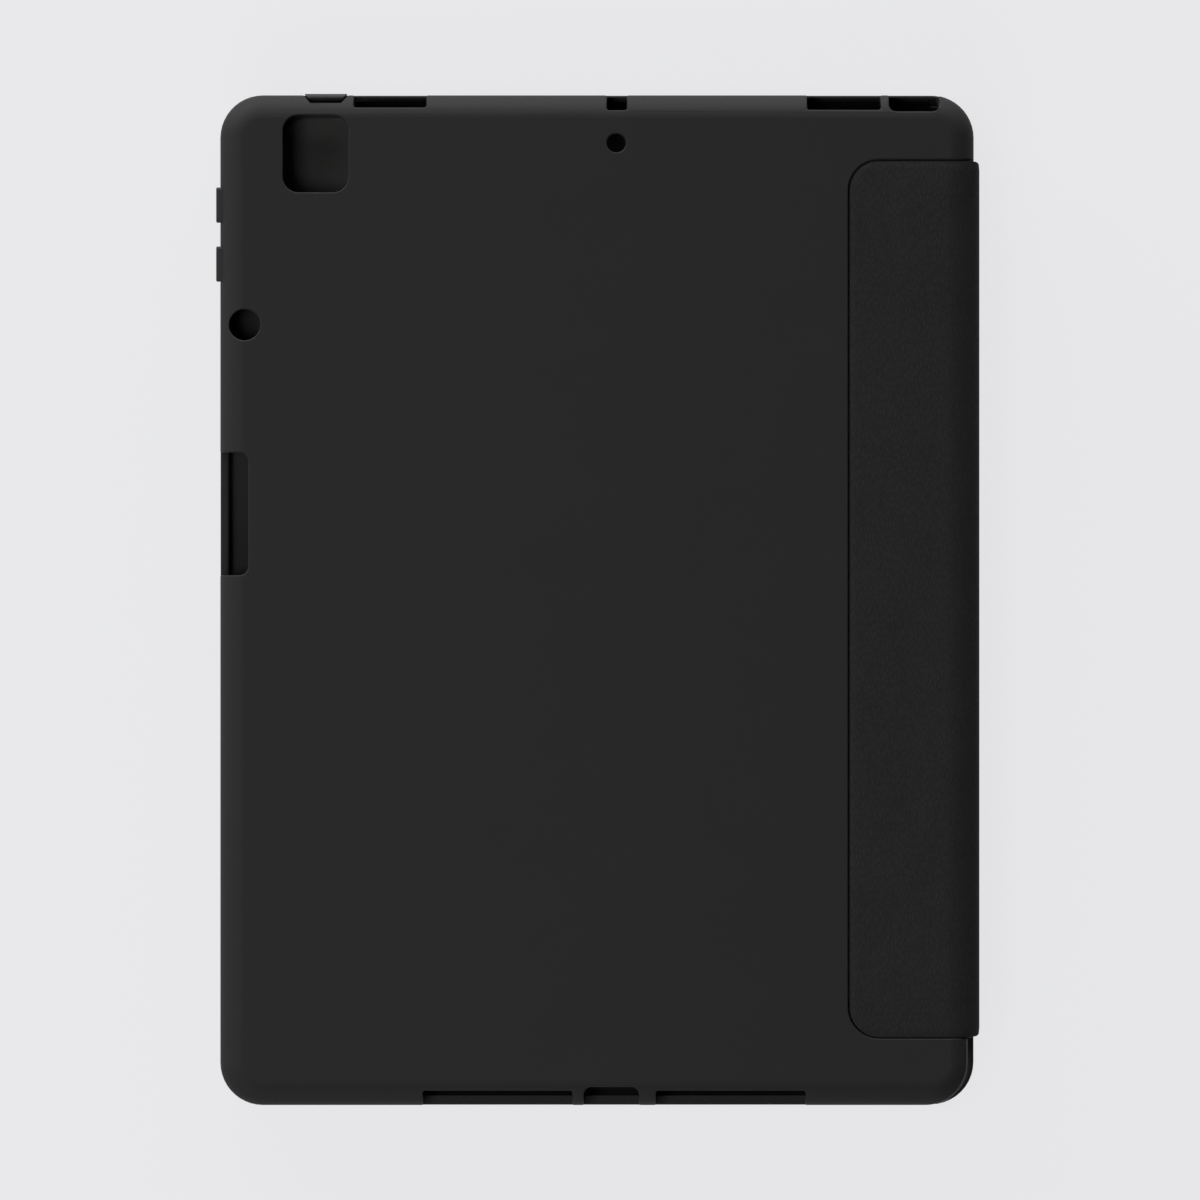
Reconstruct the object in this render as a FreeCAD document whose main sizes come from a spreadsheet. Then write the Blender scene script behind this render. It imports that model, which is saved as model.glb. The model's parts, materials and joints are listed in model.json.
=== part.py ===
import FreeCAD, Part
import math
import os
from types import SimpleNamespace

import Sketcher

# A closed tablet case that lies on its front cover, with the moulded back of its tray up.
# +X points to the spine, +Y to the top edge of the tablet, +Z out of the back.
# The origin is under the middle of the case, on the surface that it lies on.

# Driving dimensions, in millimetres and degrees
SIZES = {
    # tablet that the tray is made for
    "tablet_thickness": 7.5,
    "tablet_corner_radius": 9.0,
    "tablet_clearance": 0.1,
    # tray
    "shell_width": 191.0,
    "shell_length": 256.0,
    "shell_corner_radius": 10.8,
    "shell_edge_radius": 6.3,
    "back_wall": 1.8,
    "end_wall": 2.6,
    "stylus_side_wall": 12.7,
    "hinge_side_wall": 4.0,
    "lip_thickness": 1.6,
    "lip_overhang": 2.0,
    "closing_gap": 0.1,
    "cut_margin": 1.0,
    # windows and cut-outs of the tray
    "camera_width": 16.6,
    "camera_height": 19.6,
    "camera_side_inset": 3.3,
    "camera_top_inset": 2.6,
    "camera_corner_radius": 4.0,
    "microphone_radius": 2.4,
    "microphone_offset": 0.55,
    "microphone_inset": 12.3,
    "cutout_floor": 1.4,
    "top_microphone_width": 5.1,
    "top_microphone_offset": 0.7,
    "top_microphone_depth": 4.0,
    "near_speaker_length": 18.4,
    "near_speaker_inset": 30.4,
    "near_speaker_depth": 3.3,
    "far_speaker_length": 18.6,
    "far_speaker_inset": 29.0,
    "far_speaker_depth": 3.9,
    "headphone_width": 12.8,
    "headphone_inset": 11.2,
    "headphone_depth": 4.3,
    "bottom_speaker_length": 37.8,
    "bottom_speaker_offset": 29.5,
    "bottom_speaker_depth": 3.9,
    "port_width": 13.9,
    "port_offset": 0.7,
    "port_depth": 4.8,
    "slot_corner_radius": 0.6,
    "port_corner_radius": 1.8,
    "relief_width": 1.9,
    # stylus channel
    "stylus_bore_radius": 4.7,
    "stylus_mouth_width": 8.0,
    "stylus_outer_wall": 1.6,
    "stylus_roof": 1.5,
    "stylus_top_inset": 52.0,
    "stylus_bottom_inset": 26.0,
    "push_hole_radius": 3.95,
    "push_hole_inset": 58.3,
    "finger_slot_length": 31.1,
    "finger_slot_width": 7.3,
    "finger_slot_offset": 21.85,
    "finger_slot_corner_radius": 2.3,
    # buttons of the tray
    "button_proud": 1.0,
    "button_length": 8.9,
    "button_height": 3.4,
    "button_corner_radius": 0.8,
    "volume_up_inset": 27.85,
    "volume_down_inset": 42.8,
    "button_clearance": 0.1,
    "button_flange": 0.8,
    "button_travel": 0.5,
    "power_width": 10.9,
    "power_inner_width": 7.8,
    "power_side_inset": 14.1,
    "power_inset": 2.1,
    "power_proud": 0.3,
    "power_height": 4.2,
    "power_foot_width": 9.4,
    "power_foot_height": 1.8,
    "power_foot_wall": 0.8,
    "power_clearance": 0.15,
    "power_travel": 0.3,
    # flap on the back, spine and folds
    "leather_thickness": 0.6,
    "flap_reach": 31.5,
    "flap_top_inset": 16.9,
    "flap_bottom_inset": 17.5,
    "flap_corner_radius": 7.4,
    "flap_gap": 0.45,
    "flap_board_thickness": 0.4,
    "flap_glue_thickness": 0.1,
    "flap_board_inset": 0.8,
    "recess_edge_radius": 5.2,
    "spine_proud": 1.45,
    "spine_board_thickness": 0.5,
    "spine_board_inset": 2.5,
    "roll_radius": 6.05,
    "fold_angle": 45.0,
    "flap_fold_radius": 0.28,
    "cover_fold_radius": 0.55,
    "fold_gap": 0.05,
    # front cover
    "cover_skin_floor": 0.8,
    "cover_skin_rim": 1.0,
    "cover_board_thickness": 1.4,
    "cover_board_clearance": 0.1,
    "cover_end_overhang": 0.3,
    "cover_corner_radius": 10.8,
    "magnet_radius": 4.0,
    "magnet_clearance": 0.1,
    "magnet_side_inset": 11.5,
    "magnet_near": 40.0,
    "magnet_end_inset": 33.3,
    # keyboard case
    "glue_thickness": 0.2,
    "glue_inset": 1.0,
    "keyboard_inset": 2.0,
    "keyboard_hinge_inset": 8.0,
    "keyboard_corner_radius": 8.0,
    "base_floor": 0.8,
    "base_wall": 1.2,
    "base_cavity": 3.2,
    "deck_thickness": 1.2,
    "screw_radius": 0.8,
    "screw_head_radius": 1.5,
    "screw_head_height": 0.5,
    "screw_length": 3.0,
    "screw_clearance": 0.1,
    "screw_boss_radius": 1.8,
    "screw_end_inset": 5.0,
    "screw_front_inset": 7.5,
    "screw_pitch": 46.0,
    # keys
    "key_side_margin": 12.6,
    "key_pitch": 16.2,
    "function_row_pitch": 11.2,
    "key_gap": 2.2,
    "key_rise": 1.2,
    "key_corner_radius": 1.6,
    "key_taper": 5.0,
    "key_hole_clearance": 0.4,
    "key_flange_overhang": 0.5,
    "key_flange_thickness": 0.8,
    "key_far_margin": 5.9,
    "support_plate_thickness": 0.5,
    "membrane_thickness": 0.3,
    "dome_sheet_thickness": 0.2,
    "dome_radius": 2.6,
    "plate_margin": 1.5,
    # palm rest, touchpad and electronics
    "palm_pad_thickness": 0.3,
    "palm_pad_inset": 13.5,
    "palm_pad_end_inset": 3.5,
    "palm_pad_key_gap": 2.0,
    "palm_pad_corner_radius": 6.5,
    "touchpad_width": 90.0,
    "touchpad_front_margin": 18.9,
    "touchpad_corner_radius": 3.0,
    "touchpad_key_gap": 12.0,
    "touchpad_clearance": 0.3,
    "touchpad_flange": 1.5,
    "touchpad_switch_side": 6.0,
    "touchpad_switch_gap": 0.3,
    "board_thickness": 0.8,
    "board_width": 34.0,
    "board_depth": 44.0,
    "board_key_gap": 5.0,
    "chip_side": 7.0,
    "chip_height": 1.0,
    "battery_side_margin": 9.0,
    "battery_front_margin": 6.9,
    "battery_thickness": 2.6,
    "battery_corner_radius": 3.0,
    "battery_gap": 12.0,
    "socket_width": 9.0,
    "socket_height": 3.0,
    "socket_depth": 7.4,
    "socket_wall": 0.3,
    "socket_corner_radius": 1.2,
    "socket_offset": 14.0,
    "socket_clearance": 0.1,
    "switch_offset": 36.0,
    "switch_body_width": 12.0,
    "switch_body_depth": 4.45,
    "switch_body_height": 2.6,
    "slider_width": 3.0,
    "slider_height": 1.4,
    "slider_proud": 1.0,
    "slider_plate_thickness": 0.7,
    "slider_plate_margin": 1.0,
    "slider_travel": 3.0,
    "slider_clearance": 0.1,
    "lens_radius": 0.9,
    "lens_flange_radius": 1.4,
    "lens_flange_thickness": 0.5,
    "lens_clearance": 0.05,
    "lens_pitch": 6.0,
    "lens_end_inset": 26.0,
    "ribbon_width": 14.0,
    "ribbon_thickness": 0.2,
    "ribbon_overlap": 4.0,
}

# Keys from the user's left to right: name, row, first column, width in columns, how many side by side.
# Row 0 is the function row beside the spine. The up and down arrows share a place of the bottom row.
KEYS = [
    ("function_keys", 0, 0, 1, 14),
    ("number_keys", 1, 0, 1, 13),
    ("backspace_key", 1, 13, 1, 1),
    ("tab_key", 2, 0, 1.25, 1),
    ("upper_letter_keys", 2, 1.25, 1, 12),
    ("slash_key", 2, 13.25, 0.75, 1),
    ("caps_lock_key", 3, 0, 1.5, 1),
    ("home_letter_keys", 3, 1.5, 1, 11),
    ("enter_key", 3, 12.5, 1.5, 1),
    ("left_shift_key", 4, 0, 2, 1),
    ("lower_letter_keys", 4, 2, 1, 10),
    ("right_shift_key", 4, 12, 2, 1),
    ("fn_key", 5, 0, 1, 1),
    ("control_key", 5, 1, 1, 1),
    ("alt_key", 5, 2, 1, 1),
    ("left_super_key", 5, 3, 1.25, 1),
    ("space_bar", 5, 4.25, 5.5, 1),
    ("right_super_key", 5, 9.75, 1.25, 1),
    ("left_arrow_key", 5, 11, 1, 1),
    ("up_arrow_key", "upper half", 12, 1, 1),
    ("down_arrow_key", "lower half", 12, 1, 1),
    ("right_arrow_key", 5, 13, 1, 1),
]
KEY_COLUMNS = 14
KEY_ROWS = 5
DEGREES = 180 / math.pi


class Size:
    """A number together with the sheet expression that it comes from."""

    def __init__(self, number, text):
        self.number = number
        self.text = text

    def __add__(self, other):
        return Size(self.number + number_of(other), f"({self.text} + {text_of(other)})")

    def __radd__(self, other):
        return self + other

    def __sub__(self, other):
        return Size(self.number - number_of(other), f"({self.text} - {text_of(other)})")

    def __rsub__(self, other):
        return Size(number_of(other) - self.number, f"({text_of(other)} - {self.text})")

    def __mul__(self, other):
        return Size(self.number * number_of(other), f"({self.text} * {text_of(other)})")

    def __rmul__(self, other):
        return self * other

    def __truediv__(self, other):
        return Size(self.number / number_of(other), f"({self.text} / {text_of(other)})")

    def __neg__(self):
        return Size(-self.number, f"(0 - {self.text})")


NOTHING = Size(0, "0")


def number_of(value):
    return value.number if isinstance(value, Size) else value


def text_of(value):
    return value.text if isinstance(value, Size) else repr(value)


def cosine(angle):
    return Size(math.cos(math.radians(angle.number)), f"cos({angle.text} * 1 deg)")


def sine(angle):
    return Size(math.sin(math.radians(angle.number)), f"sin({angle.text} * 1 deg)")


def make_sheet(document):
    """Writes the driving dimensions to a sheet and returns them as sizes that refer to its cells."""
    sheet = document.addObject("Spreadsheet::Sheet", "sizes")
    named = {}
    for row, (alias, number) in enumerate(SIZES.items(), start=1):
        sheet.set(f"A{row}", alias)
        sheet.set(f"B{row}", str(number))
        sheet.setAlias(f"B{row}", alias)
        named[alias] = Size(number, f"sizes.{alias}")
    document.recompute()
    return SimpleNamespace(**named)


document = FreeCAD.newDocument("tablet_keyboard_case")
size = make_sheet(document)
pieces = []


# Sketches and features

def new_body(label):
    """An empty body that becomes one piece of the case."""
    body = document.addObject("PartDesign::Body", label)
    body.Label = label
    body.AllowCompound = True
    pieces.append(body)
    return body


def origin_feature(body, role):
    return next(part for part in body.Origin.OriginFeatures if part.Role == role)


def new_sketch(body, plane, low, high):
    """A sketch across one origin plane, where an extrusion from low to high begins."""
    sketch = body.newObject("Sketcher::SketchObject", "Sketch")
    sketch.AttachmentSupport = [(origin_feature(body, plane), "")]
    sketch.MapMode = "FlatFace"
    # the XZ plane faces -Y, so its extrusions run from high to low
    start = -high if plane == "XZ_Plane" else low
    sketch.setExpression("AttachmentOffset.Base.z", text_of(start))
    return sketch


def constrain(sketch, dimensions):
    """Adds dimensions to a sketch, each a kind, its points and a size, and ties them to the sheet."""
    constraints = [Sketcher.Constraint(kind, *points, number_of(value)) for kind, points, value in dimensions]
    indices = sketch.addConstraint(constraints)
    for index, (kind, points, value) in zip(indices, dimensions):
        sketch.setExpression(f"Constraints[{index}]", value.text)


def point_dimensions(edge, end, x, y):
    """Dimensions that fix one point of an edge at x and y from the sketch's origin."""
    return [("DistanceX", (-1, 1, edge, end), x), ("DistanceY", (-1, 1, edge, end), y)]


def draw_outline(sketch, points):
    """Draws a closed outline through points of x, y and the arc that leaves there, or None for a line.

    An arc is the x and y of its centre, its radius, and 1 or -1 for the way that it turns.
    """
    edges = []
    ends = []
    for (x, y, arc), (next_x, next_y, _) in zip(points, points[1:] + points[:1]):
        first = FreeCAD.Vector(number_of(x), number_of(y), 0)
        last = FreeCAD.Vector(number_of(next_x), number_of(next_y), 0)
        if arc is None:
            edges.append(Part.LineSegment(first, last))
            ends.append((1, 2))
            continue
        centre = FreeCAD.Vector(number_of(arc[0]), number_of(arc[1]), 0)
        if arc[3] < 0:
            first, last = last, first
        begin = math.atan2(first.y - centre.y, first.x - centre.x)
        finish = math.atan2(last.y - centre.y, last.x - centre.x)
        if finish < begin:
            finish += 2 * math.pi
        circle = Part.Circle(centre, FreeCAD.Vector(0, 0, 1), number_of(arc[2]))
        edges.append(Part.ArcOfCircle(circle, begin, finish))
        ends.append((1, 2) if arc[3] > 0 else (2, 1))
    sketch.addGeometry(edges, False)
    joints = []
    dimensions = []
    for index, (x, y, arc) in enumerate(points):
        following = (index + 1) % len(points)
        joints.append(Sketcher.Constraint("Coincident", index, ends[index][1], following, ends[following][0]))
        dimensions += point_dimensions(index, ends[index][0], x, y)
        if arc is not None:
            dimensions.append(("Radius", (index,), arc[2]))
    sketch.addConstraint(joints)
    constrain(sketch, dimensions)


def draw_circle(sketch, x, y, radius):
    centre = FreeCAD.Vector(number_of(x), number_of(y), 0)
    edge = sketch.addGeometry(Part.Circle(centre, FreeCAD.Vector(0, 0, 1), number_of(radius)), False)
    constrain(sketch, point_dimensions(edge, 3, x, y) + [("Radius", (edge,), radius)])


def rectangle(left, right, bottom, top):
    return [(left, bottom, None), (right, bottom, None), (right, top, None), (left, top, None)]


def rounded_rectangle(left, right, bottom, top, radius):
    inner_left = left + radius
    inner_right = right - radius
    inner_bottom = bottom + radius
    inner_top = top - radius
    return [
        (inner_left, bottom, None),
        (inner_right, bottom, (inner_right, inner_bottom, radius, 1)),
        (right, inner_bottom, None),
        (right, inner_top, (inner_right, inner_top, radius, 1)),
        (inner_right, top, None),
        (inner_left, top, (inner_left, inner_top, radius, 1)),
        (left, inner_top, None),
        (left, inner_bottom, (inner_left, inner_bottom, radius, 1)),
    ]


def circle_at(x, y, radius):
    return (x, y, radius)


def draw(sketch, shape):
    if isinstance(shape, tuple):
        draw_circle(sketch, *shape)
    else:
        draw_outline(sketch, shape)


def add(body, shape, low, high, plane="XY_Plane", taper=None):
    """Adds an extrusion of a shape between two levels along a plane's normal."""
    sketch = new_sketch(body, plane, low, high)
    draw(sketch, shape)
    pad = body.newObject("PartDesign::Pad", "Pad")
    pad.Profile = sketch
    pad.Refine = False
    pad.setExpression("Length", (high - low).text)
    if taper is not None:
        pad.setExpression("TaperAngle", (-taper).text)
    return pad


def cut(body, shape, low, high, plane="XY_Plane"):
    """Cuts an extrusion of a shape between two levels along a plane's normal."""
    sketch = new_sketch(body, plane, low, high)
    draw(sketch, shape)
    pocket = body.newObject("PartDesign::Pocket", "Pocket")
    pocket.Profile = sketch
    pocket.Reversed = True
    pocket.Refine = False
    pocket.setExpression("Length", (high - low).text)
    return pocket


def repeat(body, features, count, pitch):
    """Repeats features side by side towards -Y."""
    if count == 1:
        return
    pattern = body.newObject("PartDesign::LinearPattern", "Pattern")
    pattern.Originals = features
    pattern.Direction = (origin_feature(body, "Y_Axis"), [""])
    pattern.Reversed = True
    pattern.Occurrences = count
    pattern.Refine = False
    pattern.setExpression("Length", (pitch * (count - 1)).text)
    body.Tip = pattern


def round_face_edges(body, level, radius):
    """Rounds the edges of the flat face that looks up at a level."""
    document.recompute()
    solid = body.Tip
    for index, face in enumerate(solid.Shape.Faces, start=1):
        box = face.BoundBox
        if abs(box.ZMin - number_of(level)) < 1e-6 and abs(box.ZMax - number_of(level)) < 1e-6:
            fillet = body.newObject("PartDesign::Fillet", "Fillet")
            fillet.Base = (solid, [f"Face{index}"])
            fillet.setExpression("Radius", radius.text)
            return
    raise RuntimeError(f"{body.Label} has no face at {number_of(level)}")


# Levels of the stack, from the surface that the case lies on

cover_top = size.cover_skin_floor + size.cover_board_thickness
base_bottom = cover_top + size.glue_thickness
cavity_floor = base_bottom + size.base_floor
deck_bottom = cavity_floor + size.base_cavity
deck_top = deck_bottom + size.deck_thickness
shell_front = deck_top + size.closing_gap
pocket_front = shell_front + size.lip_thickness
pocket_back = pocket_front + size.tablet_thickness + size.tablet_clearance * 2
shell_back = pocket_back + size.back_wall
above_back = shell_back + size.cut_margin
cutout_low = pocket_front + size.cutout_floor

# Outline of the tray, set so that the buttons and the spine stand out evenly about the origin

shell_middle = (size.button_proud - size.spine_proud) / 2
shell_left = shell_middle - size.shell_width / 2
shell_right = shell_middle + size.shell_width / 2
shell_bottom = -size.shell_length / 2
shell_top = size.shell_length / 2
pocket_left = shell_left + size.stylus_side_wall
pocket_right = shell_right - size.hinge_side_wall
pocket_top = shell_top - size.end_wall
pocket_bottom = shell_bottom + size.end_wall
tablet_middle = (pocket_left + pocket_right) / 2

# Flap, spine and the two folds

flap_left = shell_right - size.flap_reach
flap_low = shell_bottom + size.flap_bottom_inset
flap_high = shell_top - size.flap_top_inset
flap_depth = size.leather_thickness + size.flap_board_thickness + size.flap_glue_thickness
recess_floor = shell_back - flap_depth
spine_outer = shell_right + size.spine_proud
spine_inner = spine_outer - size.leather_thickness
roll_x = spine_outer - size.roll_radius
roll_z = shell_back - size.roll_radius
roll_inner_radius = size.roll_radius - size.leather_thickness
fold_reach = size.roll_radius - size.leather_thickness / 2
flap_fold_x = roll_x + fold_reach * cosine(size.fold_angle)
flap_fold_z = roll_z + fold_reach * sine(size.fold_angle)
flap_end_angle = size.fold_angle + (size.flap_fold_radius + size.fold_gap) / fold_reach * DEGREES
cover_fold_x = spine_outer - size.cover_fold_radius
cover_fold_z = size.cover_fold_radius
cover_right = cover_fold_x - size.cover_fold_radius - size.fold_gap
cover_left = shell_left
cover_high = shell_top + size.cover_end_overhang
cover_low = -cover_high

# Keyboard, which lies on the cover with its function row beside the spine

keyboard_left = shell_left + size.keyboard_inset
keyboard_right = shell_right - size.keyboard_hinge_inset
keyboard_high = shell_top - size.keyboard_inset
keyboard_low = -keyboard_high
wall_inside = keyboard_high - size.base_wall
key_far = keyboard_right - size.key_far_margin
key_near = key_far - size.function_row_pitch - size.key_pitch * KEY_ROWS
key_block_high = keyboard_high - size.key_side_margin
column_pitch = key_block_high * 2 / KEY_COLUMNS
key_flange_low = deck_bottom - size.key_flange_thickness
support_top = cavity_floor + size.support_plate_thickness
membrane_top = support_top + size.membrane_thickness
sheet_top = membrane_top + size.dome_sheet_thickness
touchpad_right = key_near - size.touchpad_key_gap
touchpad_left = keyboard_left + size.touchpad_front_margin
touchpad_high = size.touchpad_width / 2
board_right = key_near - size.board_key_gap
socket_x = board_right - size.socket_offset
switch_x = board_right - size.switch_offset
socket_back = keyboard_high - size.socket_depth
slider_x = switch_x - size.slider_travel / 2
slider_z = cavity_floor + size.switch_body_height / 2
slider_back = wall_inside - size.slider_plate_thickness - size.slider_clearance
lens_x = (key_far + keyboard_right) / 2


# The tray: shell, flap and buttons

def edge_cutout(body, middle, width, depth, radius, outer):
    """Cuts a slot through an end wall and the rounded edge of the back, from a depth to past the edge."""
    if outer > 0:
        low = shell_top - depth
        high = shell_top + size.cut_margin + radius
    else:
        low = shell_bottom - size.cut_margin - radius
        high = shell_bottom + depth
    outline = rounded_rectangle(middle - width / 2, middle + width / 2, low, high, radius)
    cut(body, outline, cutout_low, above_back)


def back_shell():
    body = new_body("back_shell")
    outline = rounded_rectangle(shell_left, shell_right, shell_bottom, shell_top, size.shell_corner_radius)
    add(body, outline, shell_front, shell_back)
    round_face_edges(body, shell_back, size.shell_edge_radius)
    cut(body, rounded_rectangle(pocket_left, pocket_right, pocket_bottom, pocket_top,
                                size.tablet_corner_radius), pocket_front, pocket_back)
    cut(body, rounded_rectangle(pocket_left + size.lip_overhang, pocket_right - size.lip_overhang,
                                pocket_bottom + size.lip_overhang, pocket_top - size.lip_overhang,
                                size.tablet_corner_radius - size.lip_overhang),
        shell_front - size.cut_margin, pocket_front)
    cut_flap_recess(body)
    cut_corner_relief(body)
    cut_camera_window(body)
    cut_edge_slots(body)
    cut_stylus_channel(body)
    cut_button_ways(body)


def cut_flap_recess(body):
    """The shallow recess for the flap, which runs out over the spine edge on a smaller radius."""
    low = flap_low - size.flap_gap
    high = flap_high + size.flap_gap
    left = flap_left - size.flap_gap
    radius = size.flap_corner_radius + size.flap_gap
    far = shell_right + size.cut_margin + radius
    cut(body, rounded_rectangle(left, far, low, high, radius), recess_floor, above_back)
    edge = size.recess_edge_radius
    edge_x = shell_right - edge
    edge_z = recess_floor - edge
    section = [
        (edge_x, recess_floor, (edge_x, edge_z, edge, -1)),
        (shell_right, edge_z, None),
        (shell_right + size.cut_margin, edge_z, None),
        (shell_right + size.cut_margin, above_back, None),
        (edge_x, above_back, None),
    ]
    cut(body, section, low, high, plane="XZ_Plane")


def cut_corner_relief(body):
    """The wall beyond the spine's lower end steps in, so that the edge of the cover can be felt there."""
    inner_x = shell_right - size.relief_width
    centre_x = inner_x - size.shell_corner_radius
    centre_y = shell_bottom + size.shell_corner_radius
    far_x = shell_right + size.cut_margin
    far_y = shell_bottom - size.cut_margin
    top = flap_low - size.flap_gap
    outline = [
        (inner_x, centre_y, (centre_x, centre_y, size.shell_corner_radius, -1)),
        (centre_x, shell_bottom, None),
        (centre_x, far_y, None),
        (far_x, far_y, None),
        (far_x, top, None),
        (inner_x, top, None),
    ]
    cut(body, outline, shell_front - size.cut_margin, above_back)


def cut_camera_window(body):
    left = pocket_left + size.camera_side_inset
    top = pocket_top - size.camera_top_inset
    window = rounded_rectangle(left, left + size.camera_width, top - size.camera_height, top,
                               size.camera_corner_radius)
    through_back = pocket_back - size.cut_margin
    cut(body, window, through_back, above_back)
    hole = circle_at(tablet_middle + size.microphone_offset, shell_top - size.microphone_inset,
                     size.microphone_radius)
    cut(body, hole, through_back, above_back)


def cut_edge_slots(body):
    slot = size.slot_corner_radius
    port = size.port_corner_radius
    top_slots = [
        (tablet_middle + size.top_microphone_offset, size.top_microphone_width, size.top_microphone_depth,
         slot),
        (pocket_left + size.near_speaker_inset, size.near_speaker_length, size.near_speaker_depth, slot),
        (pocket_right - size.far_speaker_inset, size.far_speaker_length, size.far_speaker_depth, slot),
        (pocket_right - size.headphone_inset, size.headphone_width, size.headphone_depth, port),
    ]
    for middle, width, depth, radius in top_slots:
        edge_cutout(body, middle, width, depth, radius, 1)
    for middle in (tablet_middle - size.bottom_speaker_offset, tablet_middle + size.bottom_speaker_offset):
        edge_cutout(body, middle, size.bottom_speaker_length, size.bottom_speaker_depth, slot, -1)
    edge_cutout(body, tablet_middle - size.port_offset, size.port_width, size.port_depth, port, -1)


def cut_stylus_channel(body):
    """A round channel beside the tablet, open to the front, with a push hole and a finger slot behind."""
    middle_x = shell_left + size.stylus_outer_wall + size.stylus_bore_radius
    middle_z = shell_back - size.stylus_roof - size.stylus_bore_radius
    high = shell_top - size.stylus_top_inset
    low = shell_bottom + size.stylus_bottom_inset
    cut(body, circle_at(middle_x, middle_z, size.stylus_bore_radius), low, high, plane="XZ_Plane")
    half_mouth = size.stylus_mouth_width / 2
    cut(body, rectangle(middle_x - half_mouth, middle_x + half_mouth, low, high),
        shell_front - size.cut_margin, middle_z)
    push_hole = circle_at(middle_x, shell_top - size.push_hole_inset, size.push_hole_radius)
    cut(body, push_hole, middle_z, above_back)
    finger = rounded_rectangle(shell_left - size.cut_margin - size.finger_slot_corner_radius,
                               shell_left + size.finger_slot_width,
                               size.finger_slot_offset - size.finger_slot_length / 2,
                               size.finger_slot_offset + size.finger_slot_length / 2,
                               size.finger_slot_corner_radius)
    cut(body, finger, cutout_low, above_back)


# Buttons of the tray, each in a way that its own sizes and a clearance give

button_z = (pocket_front + pocket_back) / 2
button_seat = pocket_left - size.button_flange - size.button_travel - size.tablet_clearance
power_x = pocket_left + size.power_side_inset
power_foot_low = pocket_front + size.power_clearance
power_foot_high = power_foot_low + size.power_foot_height
power_stop = shell_top - size.power_foot_wall
power_back = pocket_top + size.tablet_clearance + size.power_travel
power_notch = shell_top - size.power_inset
power_cap_inner = power_notch + size.power_clearance + size.power_travel
power_cap_outer = shell_top + size.power_proud
power_bevel = (size.power_width - size.power_inner_width) / 2 / (power_cap_outer - power_cap_inner)


def button_outline(middle_y, spare):
    """Section of a side button, as wide and high as the button with some spare all round."""
    half_length = size.button_length / 2 + spare
    half_height = size.button_height / 2 + spare
    return rounded_rectangle(middle_y - half_length, middle_y + half_length,
                             button_z - half_height, button_z + half_height,
                             size.button_corner_radius + spare)


def power_outline(inner_y, outer_y, spare):
    """Plan of the power button, whose bevelled ends draw in towards the tablet, with some spare there."""
    inner = size.power_inner_width / 2 + (inner_y - power_cap_inner) * power_bevel + spare
    outer = size.power_inner_width / 2 + (outer_y - power_cap_inner) * power_bevel + spare
    return [
        (power_x - inner, inner_y, None),
        (power_x + inner, inner_y, None),
        (power_x + outer, outer_y, None),
        (power_x - outer, outer_y, None),
    ]


def cut_button_ways(body):
    clearance = size.button_clearance
    for inset in (size.volume_up_inset, size.volume_down_inset):
        middle_y = shell_top - inset
        cut(body, button_outline(middle_y, clearance), shell_left - size.cut_margin,
            pocket_left + size.cut_margin, plane="YZ_Plane")
        cut(body, button_outline(middle_y, size.button_flange + clearance), button_seat,
            pocket_left + size.cut_margin, plane="YZ_Plane")
    way_spare = size.power_clearance + size.power_travel * power_bevel
    notch = power_outline(power_notch, shell_top + size.cut_margin, way_spare)
    cut(body, notch, power_foot_high, above_back)
    half_foot = size.power_foot_width / 2 + size.power_clearance
    foot_way = rectangle(power_x - half_foot, power_x + half_foot, pocket_top - size.cut_margin, power_stop)
    cut(body, foot_way, pocket_front, power_foot_high)


def volume_button(label, inset):
    """A plug through the side wall, with a flange that stops it at the pocket end."""
    body = new_body(label)
    middle_y = shell_top - inset
    flange_end = button_seat + size.button_flange
    add(body, button_outline(middle_y, size.button_flange), button_seat, flange_end, plane="YZ_Plane")
    add(body, button_outline(middle_y, NOTHING), shell_left - size.button_proud, button_seat,
        plane="YZ_Plane")


def power_button():
    """A bevelled cap in the notch of the top edge, on a foot that the wall holds back."""
    body = new_body("power_button")
    half_foot = size.power_foot_width / 2
    foot = rectangle(power_x - half_foot, power_x + half_foot, power_back, power_stop)
    add(body, foot, power_foot_low, power_foot_high)
    add(body, power_outline(power_cap_inner, power_cap_outer, NOTHING), power_foot_high,
        power_foot_high + size.power_height)


def roll_point(radius, angle):
    """A point of the leather's roll round the spine edge, at an angle above the spine's side."""
    return roll_x + radius * cosine(angle), roll_z + radius * sine(angle)


def back_flap():
    """The flap's leather, which turns over the edge as far as the fold, a stiffener and an adhesive film."""
    skin_low = shell_back - size.leather_thickness
    board_low = skin_low - size.flap_board_thickness
    inset = size.flap_board_inset
    radius = size.flap_corner_radius
    inner = (flap_left + inset, roll_x - inset, flap_low + inset, flap_high - inset)
    skin = new_body("back_flap_skin")
    add(skin, flap_outline(flap_left, roll_x, flap_low, flap_high, radius), skin_low, shell_back)
    turned_edge = [
        (roll_x, skin_low, (roll_x, roll_z, roll_inner_radius, -1)),
        (*roll_point(roll_inner_radius, flap_end_angle), None),
        (*roll_point(size.roll_radius, flap_end_angle), (roll_x, roll_z, size.roll_radius, 1)),
        (roll_x, shell_back, None),
    ]
    add(skin, turned_edge, flap_low, flap_high, plane="XZ_Plane")
    board = new_body("back_flap_board")
    add(board, flap_outline(*inner, radius - inset), board_low, skin_low)
    film = new_body("flap_glue_film")
    add(film, flap_outline(*inner, radius - inset), recess_floor, board_low)


def flap_outline(left, right, low, high, radius):
    """A plate with its two left corners rounded and a straight edge where the roll begins."""
    return [
        (left + radius, low, None),
        (right, low, None),
        (right, high, None),
        (left + radius, high, (left + radius, high - radius, radius, 1)),
        (left, high - radius, None),
        (left, low + radius, (left + radius, low + radius, radius, 1)),
    ]


# The spine

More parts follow.
